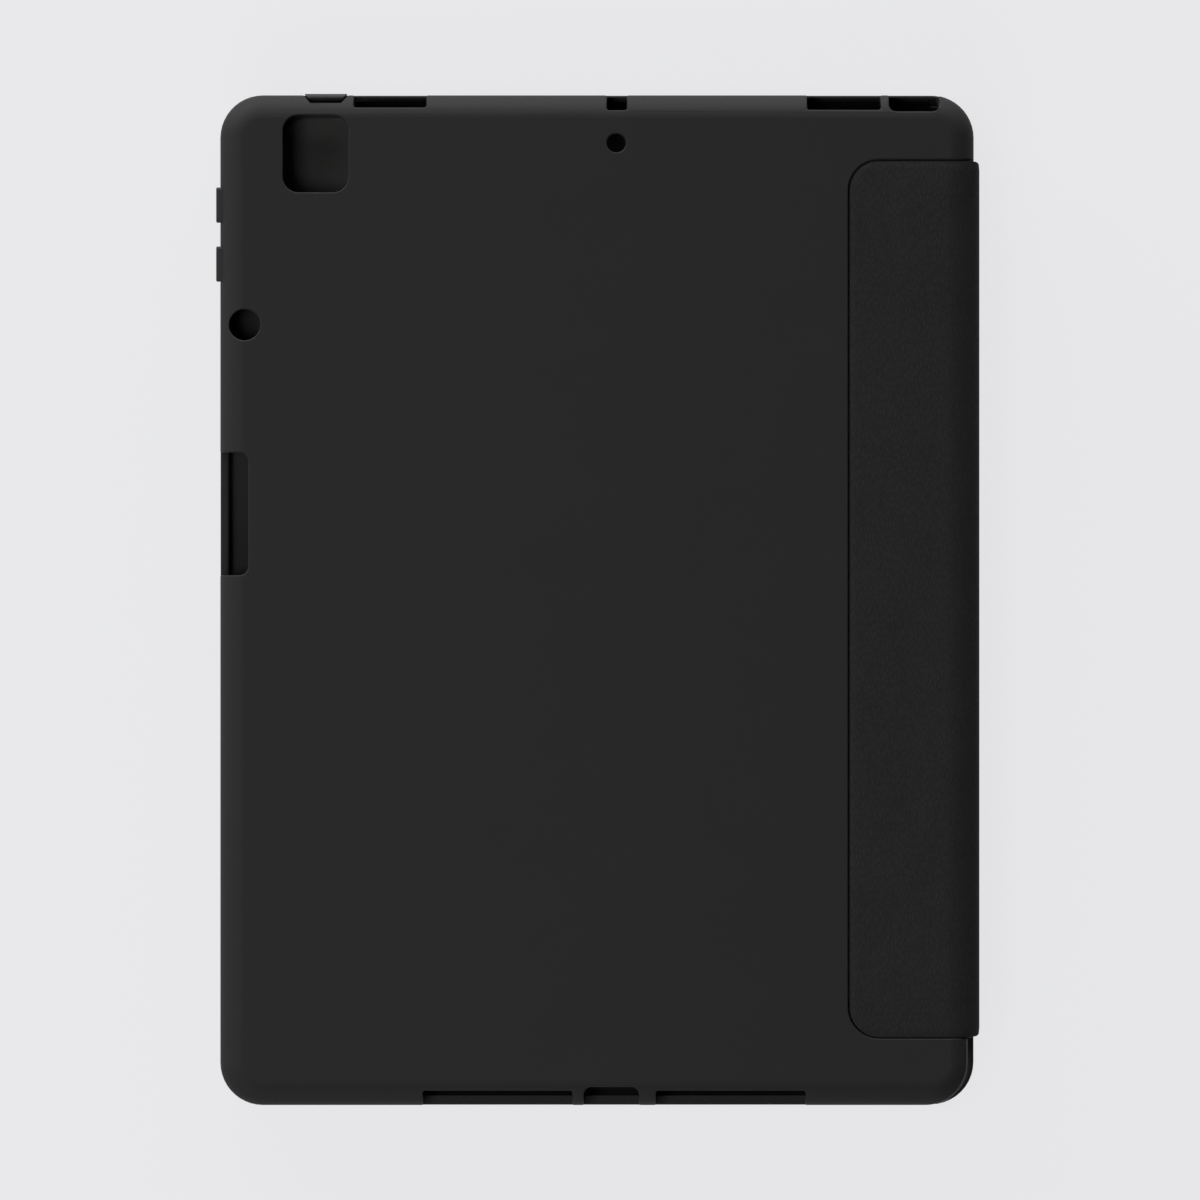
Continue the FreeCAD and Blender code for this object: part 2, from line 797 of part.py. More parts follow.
def spine():
    """The leather from the fold in the roll down to the cover's fold, and its board."""
    skin = new_body("spine_skin")
    section = [
        (*roll_point(roll_inner_radius, size.fold_angle), (roll_x, roll_z, roll_inner_radius, -1)),
        (spine_inner, roll_z, None),
        (spine_inner, cover_fold_z, None),
        (spine_outer, cover_fold_z, None),
        (spine_outer, roll_z, (roll_x, roll_z, size.roll_radius, 1)),
        (*roll_point(size.roll_radius, size.fold_angle), None),
    ]
    add(skin, section, flap_low, flap_high, plane="XZ_Plane")
    add(skin, circle_at(flap_fold_x, flap_fold_z, size.flap_fold_radius), flap_low, flap_high,
        plane="XZ_Plane")
    add(skin, circle_at(cover_fold_x, cover_fold_z, size.cover_fold_radius), flap_low, flap_high,
        plane="XZ_Plane")
    board = new_body("spine_board")
    inset = size.spine_board_inset
    section = rectangle(spine_inner - size.spine_board_thickness, spine_inner, base_bottom, roll_z)
    add(board, section, flap_low + inset, flap_high - inset, plane="XZ_Plane")


# The front cover

def magnet_places():
    x = cover_left + size.magnet_side_inset
    far = cover_high - size.magnet_end_inset
    return [(x, y) for y in (far, size.magnet_near, -size.magnet_near, -far)]


def front_cover():
    skin = new_body("cover_skin")
    radius = size.cover_corner_radius
    add(skin, rounded_rectangle(cover_left, cover_right, cover_low, cover_high, radius),
        NOTHING, cover_top)
    rim = size.cover_skin_rim
    cut(skin, rounded_rectangle(cover_left + rim, cover_right - rim, cover_low + rim, cover_high - rim,
                                radius - rim), size.cover_skin_floor, cover_top)
    board = new_body("cover_board")
    edge = rim + size.cover_board_clearance
    add(board, rounded_rectangle(cover_left + edge, cover_right - edge, cover_low + edge, cover_high - edge,
                                 radius - edge), size.cover_skin_floor, cover_top)
    magnets = new_body("cover_magnets")
    for x, y in magnet_places():
        cut(board, circle_at(x, y, size.magnet_radius + size.magnet_clearance), size.cover_skin_floor,
            cover_top)
        add(magnets, circle_at(x, y, size.magnet_radius), size.cover_skin_floor, cover_top)
    glue = new_body("keyboard_glue_sheet")
    inset = size.glue_inset
    add(glue, rounded_rectangle(keyboard_left + inset, keyboard_right - inset, keyboard_low + inset,
                                keyboard_high - inset, size.keyboard_corner_radius - inset),
        cover_top, base_bottom)


# The keyboard's case

def screw_places():
    """Four screws along each end of the keyboard, and one in front of the touchpad."""
    first_x = keyboard_left + size.screw_front_inset
    end_y = keyboard_high - size.screw_end_inset
    places = [(first_x, NOTHING)]
    columns = [first_x, key_near - size.screw_boss_radius, key_near + size.screw_pitch,
               keyboard_right - size.screw_front_inset]
    for x in columns:
        places += [(x, end_y), (x, -end_y)]
    return places


def keyboard_outline(inset):
    return rounded_rectangle(keyboard_left + inset, keyboard_right - inset, keyboard_low + inset,
                             keyboard_high - inset, size.keyboard_corner_radius - inset)


def keyboard_base():
    body = new_body("keyboard_base")
    add(body, keyboard_outline(NOTHING), base_bottom, deck_bottom)
    cut(body, keyboard_outline(size.base_wall), cavity_floor, deck_bottom)
    clearance = size.screw_clearance
    for x, y in screw_places():
        cut(body, circle_at(x, y, size.screw_radius + clearance), base_bottom, cavity_floor)
        cut(body, circle_at(x, y, size.screw_head_radius + clearance), base_bottom,
            base_bottom + size.screw_head_height)
    beyond = keyboard_high + size.cut_margin
    half_socket = size.socket_width / 2 + size.socket_clearance
    before = wall_inside - size.cut_margin
    cut(body, rectangle(socket_x - half_socket, socket_x + half_socket, before, beyond), cavity_floor,
        deck_bottom)
    half_slot = (size.slider_width + size.slider_travel) / 2 + size.slider_clearance
    half_height = size.slider_height / 2 + size.slider_clearance
    cut(body, rectangle(switch_x - half_slot, switch_x + half_slot, slider_z - half_height,
                        slider_z + half_height), before, beyond, plane="XZ_Plane")


def wire_of(shape, level):
    """A closed wire through an outline's points, or round a circle, at a level."""
    if isinstance(shape, tuple):
        x, y, radius = (number_of(value) for value in shape)
        ring = Part.Circle(FreeCAD.Vector(x, y, number_of(level)), FreeCAD.Vector(0, 0, 1), radius)
        return Part.Wire(ring.toShape())
    edges = []
    for (x, y, arc), (next_x, next_y, _) in zip(shape, shape[1:] + shape[:1]):
        first = FreeCAD.Vector(number_of(x), number_of(y), number_of(level))
        last = FreeCAD.Vector(number_of(next_x), number_of(next_y), number_of(level))
        if arc is None:
            edges.append(Part.LineSegment(first, last).toShape())
            continue
        centre = FreeCAD.Vector(number_of(arc[0]), number_of(arc[1]), number_of(level))
        outward = (first + last) * 0.5 - centre
        middle = centre + outward.normalize() * number_of(arc[2])
        edges.append(Part.Arc(first, middle, last).toShape())
    return Part.Wire(edges)


def plate_with_holes(outline, holes, low, high):
    wires = [wire_of(shape, low) for shape in [outline] + holes]
    face = Part.makeFace(wires, "Part::FaceMakerBullseye")
    return face.extrude(FreeCAD.Vector(0, 0, number_of(high) - number_of(low)))


def key_holes():
    """Plans of the holes of all keys, each key of a group one pitch from the next."""
    holes = []
    for name, row, column, width, count in KEYS:
        for step in range(count):
            holes.append(key_outline(row, column + step * width, width, size.key_hole_clearance))
    return holes


def keyboard_deck():
    """The top plate with its many holes, made at once as a face with holes, and the screw bosses under it."""
    lens_holes = [circle_at(x, y, size.lens_radius + size.lens_clearance) for x, y in lens_places()]
    holes = key_holes() + lens_holes + [touchpad_outline(size.touchpad_clearance)]
    plate = plate_with_holes(keyboard_outline(NOTHING), holes, deck_bottom, deck_top)
    screw_tip = base_bottom + size.screw_head_height + size.screw_length + size.screw_clearance
    pilot_radius = size.screw_radius + size.screw_clearance / 2
    bosses = []
    for x, y in screw_places():
        boss = circle_at(x, y, size.screw_boss_radius)
        bosses.append(plate_with_holes(boss, [circle_at(x, y, pilot_radius)], cavity_floor, screw_tip))
        bosses.append(plate_with_holes(boss, [], screw_tip, deck_bottom))
    deck = document.addObject("Part::Feature", "keyboard_deck")
    deck.Label = "keyboard_deck"
    deck.Shape = plate.multiFuse(bosses)
    deck.Placement = FreeCAD.Placement()
    pieces.append(deck)


def keyboard_screws():
    body = new_body("keyboard_screws")
    head_top = base_bottom + size.screw_head_height
    for x, y in screw_places():
        add(body, circle_at(x, y, size.screw_head_radius), base_bottom, head_top)
        add(body, circle_at(x, y, size.screw_radius), head_top, head_top + size.screw_length)


# Keys and what lies under them

def key_outline(row, column, width, spare):
    """Plan of a key, or of its hole or flange, with some spare all round."""
    first = key_far - size.function_row_pitch
    if row == 0:
        far = key_far
        near = first
    elif row == "upper half":
        far = first - size.key_pitch * (KEY_ROWS - 1)
        near = far - size.key_pitch / 2
    elif row == "lower half":
        far = first - size.key_pitch * (KEY_ROWS - 0.5)
        near = far - size.key_pitch / 2
    else:
        far = first - size.key_pitch * (row - 1)
        near = far - size.key_pitch
    high = key_block_high - column_pitch * column
    low = high - column_pitch * width
    edge = size.key_gap / 2 - spare
    return rounded_rectangle(near + edge, far - edge, low + edge, high - edge, size.key_corner_radius)


def key_middle(row, column, width):
    outline = key_outline(row, column, width, size.key_gap / 2)
    (near_x, low_y, _), (far_x, high_y, _) = outline[0], outline[4]
    return (near_x + far_x) / 2, (low_y + high_y) / 2


def keys():
    """Caps with drawn-in sides, on flanges that the deck holds down. Plain keys of a row are one group."""
    flange_spare = size.key_hole_clearance + size.key_flange_overhang
    for name, row, column, width, count in KEYS:
        body = new_body(name)
        flange = add(body, key_outline(row, column, width, flange_spare), key_flange_low, deck_bottom)
        cap = add(body, key_outline(row, column, width, NOTHING), deck_bottom,
                  deck_top + size.key_rise, taper=size.key_taper)
        repeat(body, [flange, cap], count, column_pitch)


def key_block_outline(margin):
    return rectangle(key_near - margin, key_far + margin, -key_block_high - margin, key_block_high + margin)


def key_layers():
    """Support plate, contact membrane and the sheet of rubber domes that lifts the keys."""
    plate = new_body("key_support_plate")
    add(plate, key_block_outline(size.plate_margin), cavity_floor, support_top)
    membrane = new_body("contact_membrane")
    add(membrane, key_block_outline(size.plate_margin), support_top, membrane_top)
    sheet = new_body("dome_sheet")
    add(sheet, key_block_outline(NOTHING), membrane_top, sheet_top)
    for name, row, column, width, count in KEYS:
        x, y = key_middle(row, column, width)
        dome = add(sheet, circle_at(x, y, size.dome_radius), sheet_top, key_flange_low)
        repeat(sheet, [dome], count, column_pitch)


# Palm rest, touchpad, electronics and switch

def palm_pad_outline():
    return rounded_rectangle(keyboard_left + size.palm_pad_inset, key_near - size.palm_pad_key_gap,
                             keyboard_low + size.palm_pad_end_inset, keyboard_high - size.palm_pad_end_inset,
                             size.palm_pad_corner_radius)


def touchpad_outline(spare):
    return rounded_rectangle(touchpad_left - spare, touchpad_right + spare, -touchpad_high - spare,
                             touchpad_high + spare, size.touchpad_corner_radius + spare)


def palm_rest():
    pad = new_body("palm_rest_pad")
    pad_top = deck_top + size.palm_pad_thickness
    add(pad, palm_pad_outline(), deck_top, pad_top)
    cut(pad, touchpad_outline(size.touchpad_clearance), deck_top, pad_top)
    plate = new_body("touchpad")
    add(plate, touchpad_outline(size.touchpad_flange), key_flange_low, deck_bottom)
    add(plate, touchpad_outline(NOTHING), deck_bottom, deck_top)
    switch = new_body("touchpad_switch")
    middle_x = (touchpad_left + touchpad_right) / 2
    half = size.touchpad_switch_side / 2
    add(switch, rectangle(middle_x - half, middle_x + half, -half, half), cavity_floor,
        key_flange_low - size.touchpad_switch_gap)


def lens_places():
    return [(lens_x, keyboard_low + size.lens_end_inset + size.lens_pitch * step) for step in range(3)]


def electronics():
    board = new_body("controller_board")
    board_left = board_right - size.board_depth
    board_low = socket_back - size.board_width
    board_top = cavity_floor + size.board_thickness
    add(board, rectangle(board_left, board_right, board_low, socket_back), cavity_floor, board_top)
    chip_x = (board_left + board_right) / 2
    chip_y = (board_low + socket_back) / 2
    half = size.chip_side / 2
    add(board, rectangle(chip_x - half, chip_x + half, chip_y - half, chip_y + half), board_top,
        board_top + size.chip_height)
    battery = new_body("battery_cell")
    add(battery, rounded_rectangle(keyboard_left + size.battery_front_margin, touchpad_right,
                                   keyboard_low + size.battery_side_margin, -touchpad_high - size.battery_gap,
                                   size.battery_corner_radius), cavity_floor,
        cavity_floor + size.battery_thickness)
    ribbon = new_body("flex_ribbon")
    half = size.ribbon_width / 2
    ribbon_left = board_right - size.ribbon_overlap
    add(ribbon, rectangle(ribbon_left, key_near, chip_y - half, chip_y + half), membrane_top,
        membrane_top + size.ribbon_thickness)
    lenses = new_body("indicator_lenses")
    for x, y in lens_places():
        add(lenses, circle_at(x, y, size.lens_flange_radius), deck_bottom - size.lens_flange_thickness,
            deck_bottom)
        add(lenses, circle_at(x, y, size.lens_radius), deck_bottom, deck_top)


def charging_socket():
    """A flat inlet in the keyboard's end wall, a metal shell closed at its back, with a contact tongue."""
    body = new_body("charging_socket")
    low = cavity_floor
    high = cavity_floor + size.socket_height
    half = size.socket_width / 2
    wall = size.socket_wall
    radius = size.socket_corner_radius
    shell = rounded_rectangle(socket_x - half, socket_x + half, low, high, radius)
    inside = rounded_rectangle(socket_x - half + wall, socket_x + half - wall, low + wall, high - wall,
                               radius - wall)
    add(body, shell, socket_back, keyboard_high, plane="XZ_Plane")
    cut(body, inside, socket_back + wall, keyboard_high, plane="XZ_Plane")
    middle_z = (low + high) / 2
    tongue = rectangle(socket_x - half / 2, socket_x + half / 2, middle_z - wall, middle_z + wall)
    add(body, tongue, socket_back + wall, keyboard_high - radius, plane="XZ_Plane")


def power_switch():
    body = new_body("power_switch_body")
    half = size.switch_body_width / 2
    body_high = slider_back
    add(body, rectangle(switch_x - half, switch_x + half, body_high - size.switch_body_depth, body_high),
        cavity_floor, cavity_floor + size.switch_body_height)
    slider = new_body("power_switch_slider")
    margin = size.slider_plate_margin
    half_width = size.slider_width / 2
    half_height = size.slider_height / 2
    plate = rectangle(slider_x - half_width - margin, slider_x + half_width + margin,
                      slider_z - half_height - margin / 2, slider_z + half_height + margin / 2)
    plate_high = slider_back + size.slider_plate_thickness
    add(slider, plate, slider_back, plate_high, plane="XZ_Plane")
    nub = rectangle(slider_x - half_width, slider_x + half_width,
                    slider_z - half_height, slider_z + half_height)
    add(slider, nub, plate_high, keyboard_high + size.slider_proud, plane="XZ_Plane")


# The whole case

back_shell()
volume_button("volume_up_button", size.volume_up_inset)
volume_button("volume_down_button", size.volume_down_inset)
power_button()
back_flap()
spine()
front_cover()
keyboard_base()
keyboard_deck()
keyboard_screws()
keys()
key_layers()
palm_rest()
electronics()
charging_socket()
power_switch()
document.recompute()

for item in document.Objects:
    if "Invalid" in item.State or "Error" in item.State:
        raise RuntimeError(f"{item.Label} is not built")
    if item.TypeId == "PartDesign::Pocket" and item.Shape.Volume >= item.BaseFeature.Shape.Volume:
        raise RuntimeError(f"{item.Label} removes nothing")
for piece in pieces:
    if piece.Shape.isNull() or not piece.Shape.isValid() or not piece.Shape.Solids:
        raise RuntimeError(f"{piece.Label} has no valid solid")

os.makedirs("parts", exist_ok=True)
for piece in pieces:
    piece.Shape.exportStep(f"parts/{piece.Label}.step")
print(f"{len(pieces)} pieces written")
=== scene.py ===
import json
import math

import bmesh
import bpy
from mathutils import Matrix, Vector

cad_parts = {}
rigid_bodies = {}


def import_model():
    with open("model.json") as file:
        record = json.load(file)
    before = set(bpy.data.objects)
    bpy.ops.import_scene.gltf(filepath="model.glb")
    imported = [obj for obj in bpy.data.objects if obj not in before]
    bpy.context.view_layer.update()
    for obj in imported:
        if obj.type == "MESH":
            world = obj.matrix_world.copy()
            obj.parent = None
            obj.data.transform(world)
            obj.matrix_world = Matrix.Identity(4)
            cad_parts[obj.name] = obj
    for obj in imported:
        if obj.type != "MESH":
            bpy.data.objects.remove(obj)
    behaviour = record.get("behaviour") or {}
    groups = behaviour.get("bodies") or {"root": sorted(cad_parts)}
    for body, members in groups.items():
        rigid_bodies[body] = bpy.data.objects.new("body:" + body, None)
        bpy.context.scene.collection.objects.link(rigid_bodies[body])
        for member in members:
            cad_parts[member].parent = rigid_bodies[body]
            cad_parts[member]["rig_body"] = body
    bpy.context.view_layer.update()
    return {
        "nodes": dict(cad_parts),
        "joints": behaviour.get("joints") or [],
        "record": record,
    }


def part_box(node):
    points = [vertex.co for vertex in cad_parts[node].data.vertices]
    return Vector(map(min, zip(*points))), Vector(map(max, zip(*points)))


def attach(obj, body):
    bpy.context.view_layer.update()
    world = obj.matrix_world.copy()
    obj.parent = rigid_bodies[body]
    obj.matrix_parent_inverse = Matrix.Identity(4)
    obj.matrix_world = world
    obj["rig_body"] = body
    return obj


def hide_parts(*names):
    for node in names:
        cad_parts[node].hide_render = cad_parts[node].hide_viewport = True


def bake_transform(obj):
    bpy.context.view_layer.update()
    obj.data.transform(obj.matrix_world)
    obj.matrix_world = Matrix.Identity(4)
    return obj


# A closed tablet case that lies on its front cover, with the moulded back of its tray up.
# All sizes are in metres. +X points to the spine, +Y to the top edge, +Z out of the back.

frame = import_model()
nodes = frame["nodes"]
slot_of_node = {part["node"]: part["material_slot"] for part in frame["record"]["subparts"]}
place_of_joint = {joint["name"]: Vector(joint["pos_m"])
                  for joint in frame["joints"] if joint["type"] == "hinge"}

MM = 0.001

# Framing of the photograph
PHOTO_SIDE = 1200
PIXEL = 0.2535 * MM
SHELL_PIXEL_X = 597.0
SHELL_PIXEL_Y = 600.2
CAMERA_HEIGHT = 3.0
SENSOR = 36.0
CLIP_END = 100.0

# Leather of the flap, the spine and the cover
LEATHER = 0.6 * MM
FLAP_CORNER = 7.4 * MM
FLAT_SHARES = [0, 0.004, 0.010, 0.018, 0.028, 0.042, 0.065, 0.1, 0.2, 0.35, 0.5, 0.65, 0.8, 0.92, 1.0]
ROLL_WIDTH = 8.7 * MM
ROLL_HEIGHT = 6.05 * MM
ROLL_STEPS = 18
SPINE_STEPS = 6
ROWS_ALONG = 24
EDGE_SINK = 0.12 * MM
EDGE_SINK_REACH = 1.4 * MM
SPINE_CORNER = 1.3 * MM
SPINE_CORNER_REACH = 5.2 * MM
SPINE_CORNER_SHARES = [0.0, 0.08, 0.18, 0.32, 0.55, 1.0]

# The strip round the cover's fold, and the lining over the spine's board
FOLD_SEAM = 1.3 * MM
FOLD_LAPS = [1.6 * MM, 1.0 * MM, 0.4 * MM]
FOLD_STEPS = 8
FOLD_CREASE = 0.05 * MM
LINING_FACING = 0.9
LINING_REACH = 0.6 * MM
LINING_PROUD = 0.05 * MM
LINING_SLOPE_IN = 0.2 * MM
LINING_SLOPE_UP = 0.4 * MM
LINING_END_DRAW = 0.35 * MM

# Rounding of moulded edges, and which edges count as sharp or flat, in degrees
TRAY_ROUNDING = 0.35 * MM
BUTTON_ROUNDING = 0.3 * MM
KEYBOARD_ROUNDING = 0.2 * MM
SWITCH_ROUNDING = 0.15 * MM
LEAST_CORNER = 0.3 * MM
MERGE_DISTANCE = 0.001 * MM
SHARP_EDGE = 32
FLAT_EDGE = 0.5

# Keys: gap between neighbours, the flange under the deck and the sides above the key's base
KEY_GAP = 2.2 * MM
KEY_FLANGE = 0.9 * MM
KEY_CORNER = 1.6 * MM
KEY_FLANGE_RIM = 0.75 * MM
KEY_FLANGE_TOP = 0.8 * MM
KEY_SIDE_START = 1.0 * MM
KEY_SIDE_INSET = 0.02 * MM

# A key's top: inset and depth of its rim, in millimetres, and share of its half width and depth of its dish
KEY_RIM = [(0.16, 0.42), (0.20, 0.24), (0.30, 0.10), (0.46, 0.02), (0.66, 0.0)]
KEY_DISH = [(0.35, 0.05), (0.7, 0.11)]

# The legends in the order of the keys
LEGENDS = {
    "function_keys": "esc F1 F2 F3 F4 F5 F6 F7 F8 F9 F10 F11 F12 del".split(),
    "number_keys": "` 1 2 3 4 5 6 7 8 9 0 - =".split(),
    "backspace_key": ["back"],
    "tab_key": ["tab"],
    "upper_letter_keys": "Q W E R T Y U I O P [ ]".split(),
    "slash_key": ["\\"],
    "caps_lock_key": ["caps"],
    "home_letter_keys": "A S D F G H J K L ; '".split(),
    "enter_key": ["enter"],
    "left_shift_key": ["shift"],
    "lower_letter_keys": "Z X C V B N M , . /".split(),
    "right_shift_key": ["shift"],
    "fn_key": ["fn"],
    "control_key": ["ctrl"],
    "alt_key": ["alt"],
    "left_super_key": ["cmd"],
    "space_bar": [""],
    "right_super_key": ["cmd"],
    "left_arrow_key": ["<"],
    "up_arrow_key": ["^"],
    "down_arrow_key": ["v"],
    "right_arrow_key": [">"],
}
LETTER_HEIGHT = 3.6 * MM
WORD_HEIGHT = 2.3 * MM
PRINT_THICKNESS = 0.03 * MM
PRINT_SINK = 0.10 * MM

# The palm rest round the touchpad
PALM_CORNER = 6.5 * MM
PALM_HOLE_CORNER = 3.3 * MM
PALM_RIM = 0.35 * MM
PALM_SHOULDER = 0.08 * MM
PALM_LEAN = 0.05 * MM
TOUCHPAD_FLANGE = 1.5 * MM
TOUCHPAD_GAP = 0.3 * MM

# The inside of the tray: how far the painted shade reaches, where its colour is painted near black, and the
# grooves behind the rim at the top edge
POCKET_SHADE_ACROSS = (Vector((-93.4, -117.2, 7.0)) * MM, Vector((92.0, 117.2, 17.05)) * MM)
POCKET_SHADE_ALONG = (Vector((-84.9, -125.45, 7.0)) * MM, Vector((84.4, 125.45, 17.05)) * MM)
RIM_BACK_SHADE_BOX = (Vector((-84.9, 125.0, 7.0)) * MM, Vector((84.4, 126.5, 11.0)) * MM)
# Near-black colour painted inside the pocket and behind the top rim: painted shade
PAINTED_SHADE_TONE = (0.0030, 0.0030, 0.0030)
SOFT_BORDER = 0.08 * MM
RIM_GROOVES = ["near_speaker_slot", "top_microphone_notch", "far_speaker_slot", "headphone_notch"]
RIM_GROOVE_LOW = Vector((0.0, 125.3, 8.1)) * MM
RIM_GROOVE_HIGH = Vector((0.0, 126.45, 10.9)) * MM

# The tray's corners and edges, the bead on its stepped-in corner, and the ridge of the power button
SHELL_CORNER = 10.8 * MM
SHELL_EDGE = 6.3 * MM
RELIEF_WIDTH = 1.9 * MM
BEAD_RADIUS = 0.22 * MM
BEAD_START = 0.6 * MM
BEAD_TURN = 72
BEAD_STEPS = 12
POWER_CAP_RIDGE = 1.0 * MM
POWER_CAP_FALL = 1.0

# Grain of the finishes: the size of its cells, and how far they are drawn out along Y
CLOUD_CELL = 18 * MM
LEATHER_CELL = 0.62 * MM
LEATHER_WRINKLE = 0.5 * MM
LEATHER_CLOUD = 14 * MM
LEATHER_RELIEF = 0.05 * MM
NAP_CELL = 0.35 * MM
NAP_PATCH = 9 * MM
NAP_RELIEF = 0.08 * MM
BRUSH_LINE = 0.25 * MM
FILM_STREAK = 3 * MM
LEATHER_DRAW = (1.0, 0.32, 1.0)
BRUSH_DRAW = (1.0, 0.04, 1.0)
STREAK_DRAW = (1.0, 0.2, 1.0)

# The pale floor and the light of the room
FLOOR_HALF = 6.0
FLOOR_DROP = 0.02 * MM
FLOOR_TONE = (0.807, 0.807, 0.823)
FLOOR_GLOW = 0.93
ROOM_LIGHT = 0.05


# Materials

class Value:
    """A socket of a finish, for use in Python expressions."""

    def __init__(self, finish, socket):
        self.finish = finish
        self.socket = socket

    def math(self, operation, first, second):
        return self.finish.add("ShaderNodeMath", {"operation": operation}, {0: first, 1: second})

    def __add__(self, other):
        return self.math("ADD", self, other)

    def __radd__(self, other):
        return self.math("ADD", other, self)

    def __sub__(self, other):
        return self.math("SUBTRACT", self, other)

    def __rsub__(self, other):
        return self.math("SUBTRACT", other, self)

    def __mul__(self, other):
        return self.math("MULTIPLY", self, other)

    def __rmul__(self, other):
        return self.math("MULTIPLY", other, self)

    def at_least(self, other):
        return self.math("MAXIMUM", self, other)


class Finish:
    """A material with one shader, whose constants are set on the shader and whose patterns feed it."""

    def __init__(self, name, **constants):
        self.material = bpy.data.materials.new(name)
        self.material.use_nodes = True
        self.nodes = self.material.node_tree.nodes
        self.links = self.material.node_tree.links
        self.shader = self.nodes["Principled BSDF"]
        for socket, value in constants.items():
            self.shader.inputs[socket.replace("_", " ")].default_value = value

    def add(self, kind, settings, inputs, output=0):
        """A node with its settings and the values or links of its sockets."""
        node = self.nodes.new(kind)
        for setting, value in settings.items():
            setattr(node, setting, value)
        for socket, value in inputs.items():
            if isinstance(value, Value):
                self.links.new(value.socket, node.inputs[socket])
            else:
                node.inputs[socket].default_value = value
        return Value(self, node.outputs[output])

    def place(self, stretch=(1, 1, 1)):
        """Object coordinates, stretched along the axes."""
        objects = self.add("ShaderNodeTexCoord", {}, {}, "Object")
        return self.add("ShaderNodeMapping", {}, {"Vector": objects, "Scale": stretch})

    def axes(self):
        """The three Object coordinates, apart."""
        objects = self.add("ShaderNodeTexCoord", {}, {}, "Object")
        apart = self.add("ShaderNodeSeparateXYZ", {}, {"Vector": objects}).socket.node
        return [Value(self, output) for output in apart.outputs]

    def noise(self, cell, detail=2.0, stretch=(1, 1, 1)):
        """Cloudy noise whose cells have a size in metres."""
        return self.add("ShaderNodeTexNoise", {}, {"Vector": self.place(stretch), "Scale": 1 / cell,
                                                   "Detail": detail})

    def pebbles(self, cell, stretch=(1, 1, 1)):
        """Distance to the borders of leather-like cells."""
        return self.add("ShaderNodeTexVoronoi", {"feature": "DISTANCE_TO_EDGE"},
                        {"Vector": self.place(stretch), "Scale": 1 / cell})

    def ramp(self, factor, low, high):
        """Moves a factor's range from low and high to 0 and 1."""
        return self.add("ShaderNodeMapRange", {}, {"Value": factor, "From Min": low, "From Max": high})

    def within(self, low, high):
        """1 inside a box and 0 outside it."""
        mask = 1.0
        for axis, start, end in zip(self.axes(), low, high):
            rising = self.ramp(axis, start - SOFT_BORDER, start)
            falling = self.ramp(axis, end + SOFT_BORDER, end)
            mask = mask * rising * falling
        return mask

    def blend(self, factor, first, second):
        """A colour between two, which are colours or values. A Mix node has them in sockets 6 and 7."""
        ends = [colour if isinstance(colour, Value) else (*colour, 1) for colour in (first, second)]
        return self.add("ShaderNodeMix", {"data_type": "RGBA"}, {0: factor, 6: ends[0], 7: ends[1]}, 2)

    def feed(self, socket, value):
        """Lets a value drive a socket of the shader."""
        self.links.new(value.socket, self.shader.inputs[socket])

    def bump(self, height, depth, strength=1.0):
        """Relief with a depth in metres."""
        relief = self.add("ShaderNodeBump", {}, {"Height": height, "Distance": depth, "Strength": strength})
        self.feed("Normal", relief)


def moulded(name, dark, light, roughness, grain, depth, specular=0.5, painted_shade_boxes=()):
    """A matt moulding: fine spark grain, and slow changes of tone and gloss. Within the boxes in
    painted_shade_boxes
    its colour is painted nearly black: painted shade in the recesses."""
    finish = Finish(name, Specular_IOR_Level=specular)
    clouds = finish.noise(CLOUD_CELL, 3.0)
    fine = finish.noise(grain, 2.0)
    tone = finish.blend(0.7 * clouds + 0.3 * fine, dark, light)
    for low, high in painted_shade_boxes:
        # Painted shade: the colour turns near black within each box, in place of the shade in the tray's
        # recesses
        tone = finish.blend(finish.within(low, high), tone, PAINTED_SHADE_TONE)
    finish.feed("Base Color", tone)
    finish.feed("Roughness", roughness + 0.10 * (fine - 0.5) + 0.05 * (clouds - 0.5))
    finish.bump(fine, depth)
    return finish.material


def leatherette(name, dark, light):
    """Artificial leather: small cells drawn out along the spine, with darker creases."""
    finish = Finish(name, Specular_IOR_Level=0.07)
    cells = finish.ramp(finish.pebbles(LEATHER_CELL, LEATHER_DRAW), 0.0, 0.25)
    wrinkles = finish.noise(LEATHER_WRINKLE, 3.0, LEATHER_DRAW)
    clouds = finish.noise(LEATHER_CLOUD, 2.0)
    finish.feed("Base Color", finish.blend(0.55 * cells + 0.45 * clouds, dark, light))
    finish.feed("Roughness", 0.74 - 0.10 * cells + 0.08 * (clouds - 0.5))
    finish.bump(0.7 * cells + 0.3 * wrinkles, LEATHER_RELIEF, 0.5)
    return finish.material


def microfibre(name, dark, light):
    """Short nap that lies in soft patches."""
    finish = Finish(name, Sheen_Weight=0.08, Sheen_Roughness=0.45, Specular_IOR_Level=0.1)
    nap = finish.noise(NAP_CELL, 3.0)
    patches = finish.noise(NAP_PATCH, 3.0)
    finish.feed("Base Color", finish.blend(0.5 * nap + 0.5 * patches, dark, light))
    finish.feed("Roughness", 0.86 + 0.10 * (nap - 0.5))
    finish.bump(nap, NAP_RELIEF, 0.7)
    return finish.material


def brushed(name, dark, light, roughness):
    """Plain metal with fine lines along Y."""
    finish = Finish(name, Metallic=1.0)
    lines = finish.noise(BRUSH_LINE, 2.0, BRUSH_DRAW)
    finish.feed("Base Color", finish.blend(lines, dark, light))
    finish.feed("Roughness", roughness + 0.15 * (lines - 0.5))
    return finish.material


def film(name, dark, light, roughness):
    """Smooth sheet material with faint streaks."""
    finish = Finish(name)
    streaks = finish.noise(FILM_STREAK, 3.0, STREAK_DRAW)
    finish.feed("Base Color", finish.blend(streaks, dark, light))
    finish.feed("Roughness", roughness + 0.10 * (streaks - 0.5))
    return finish.material


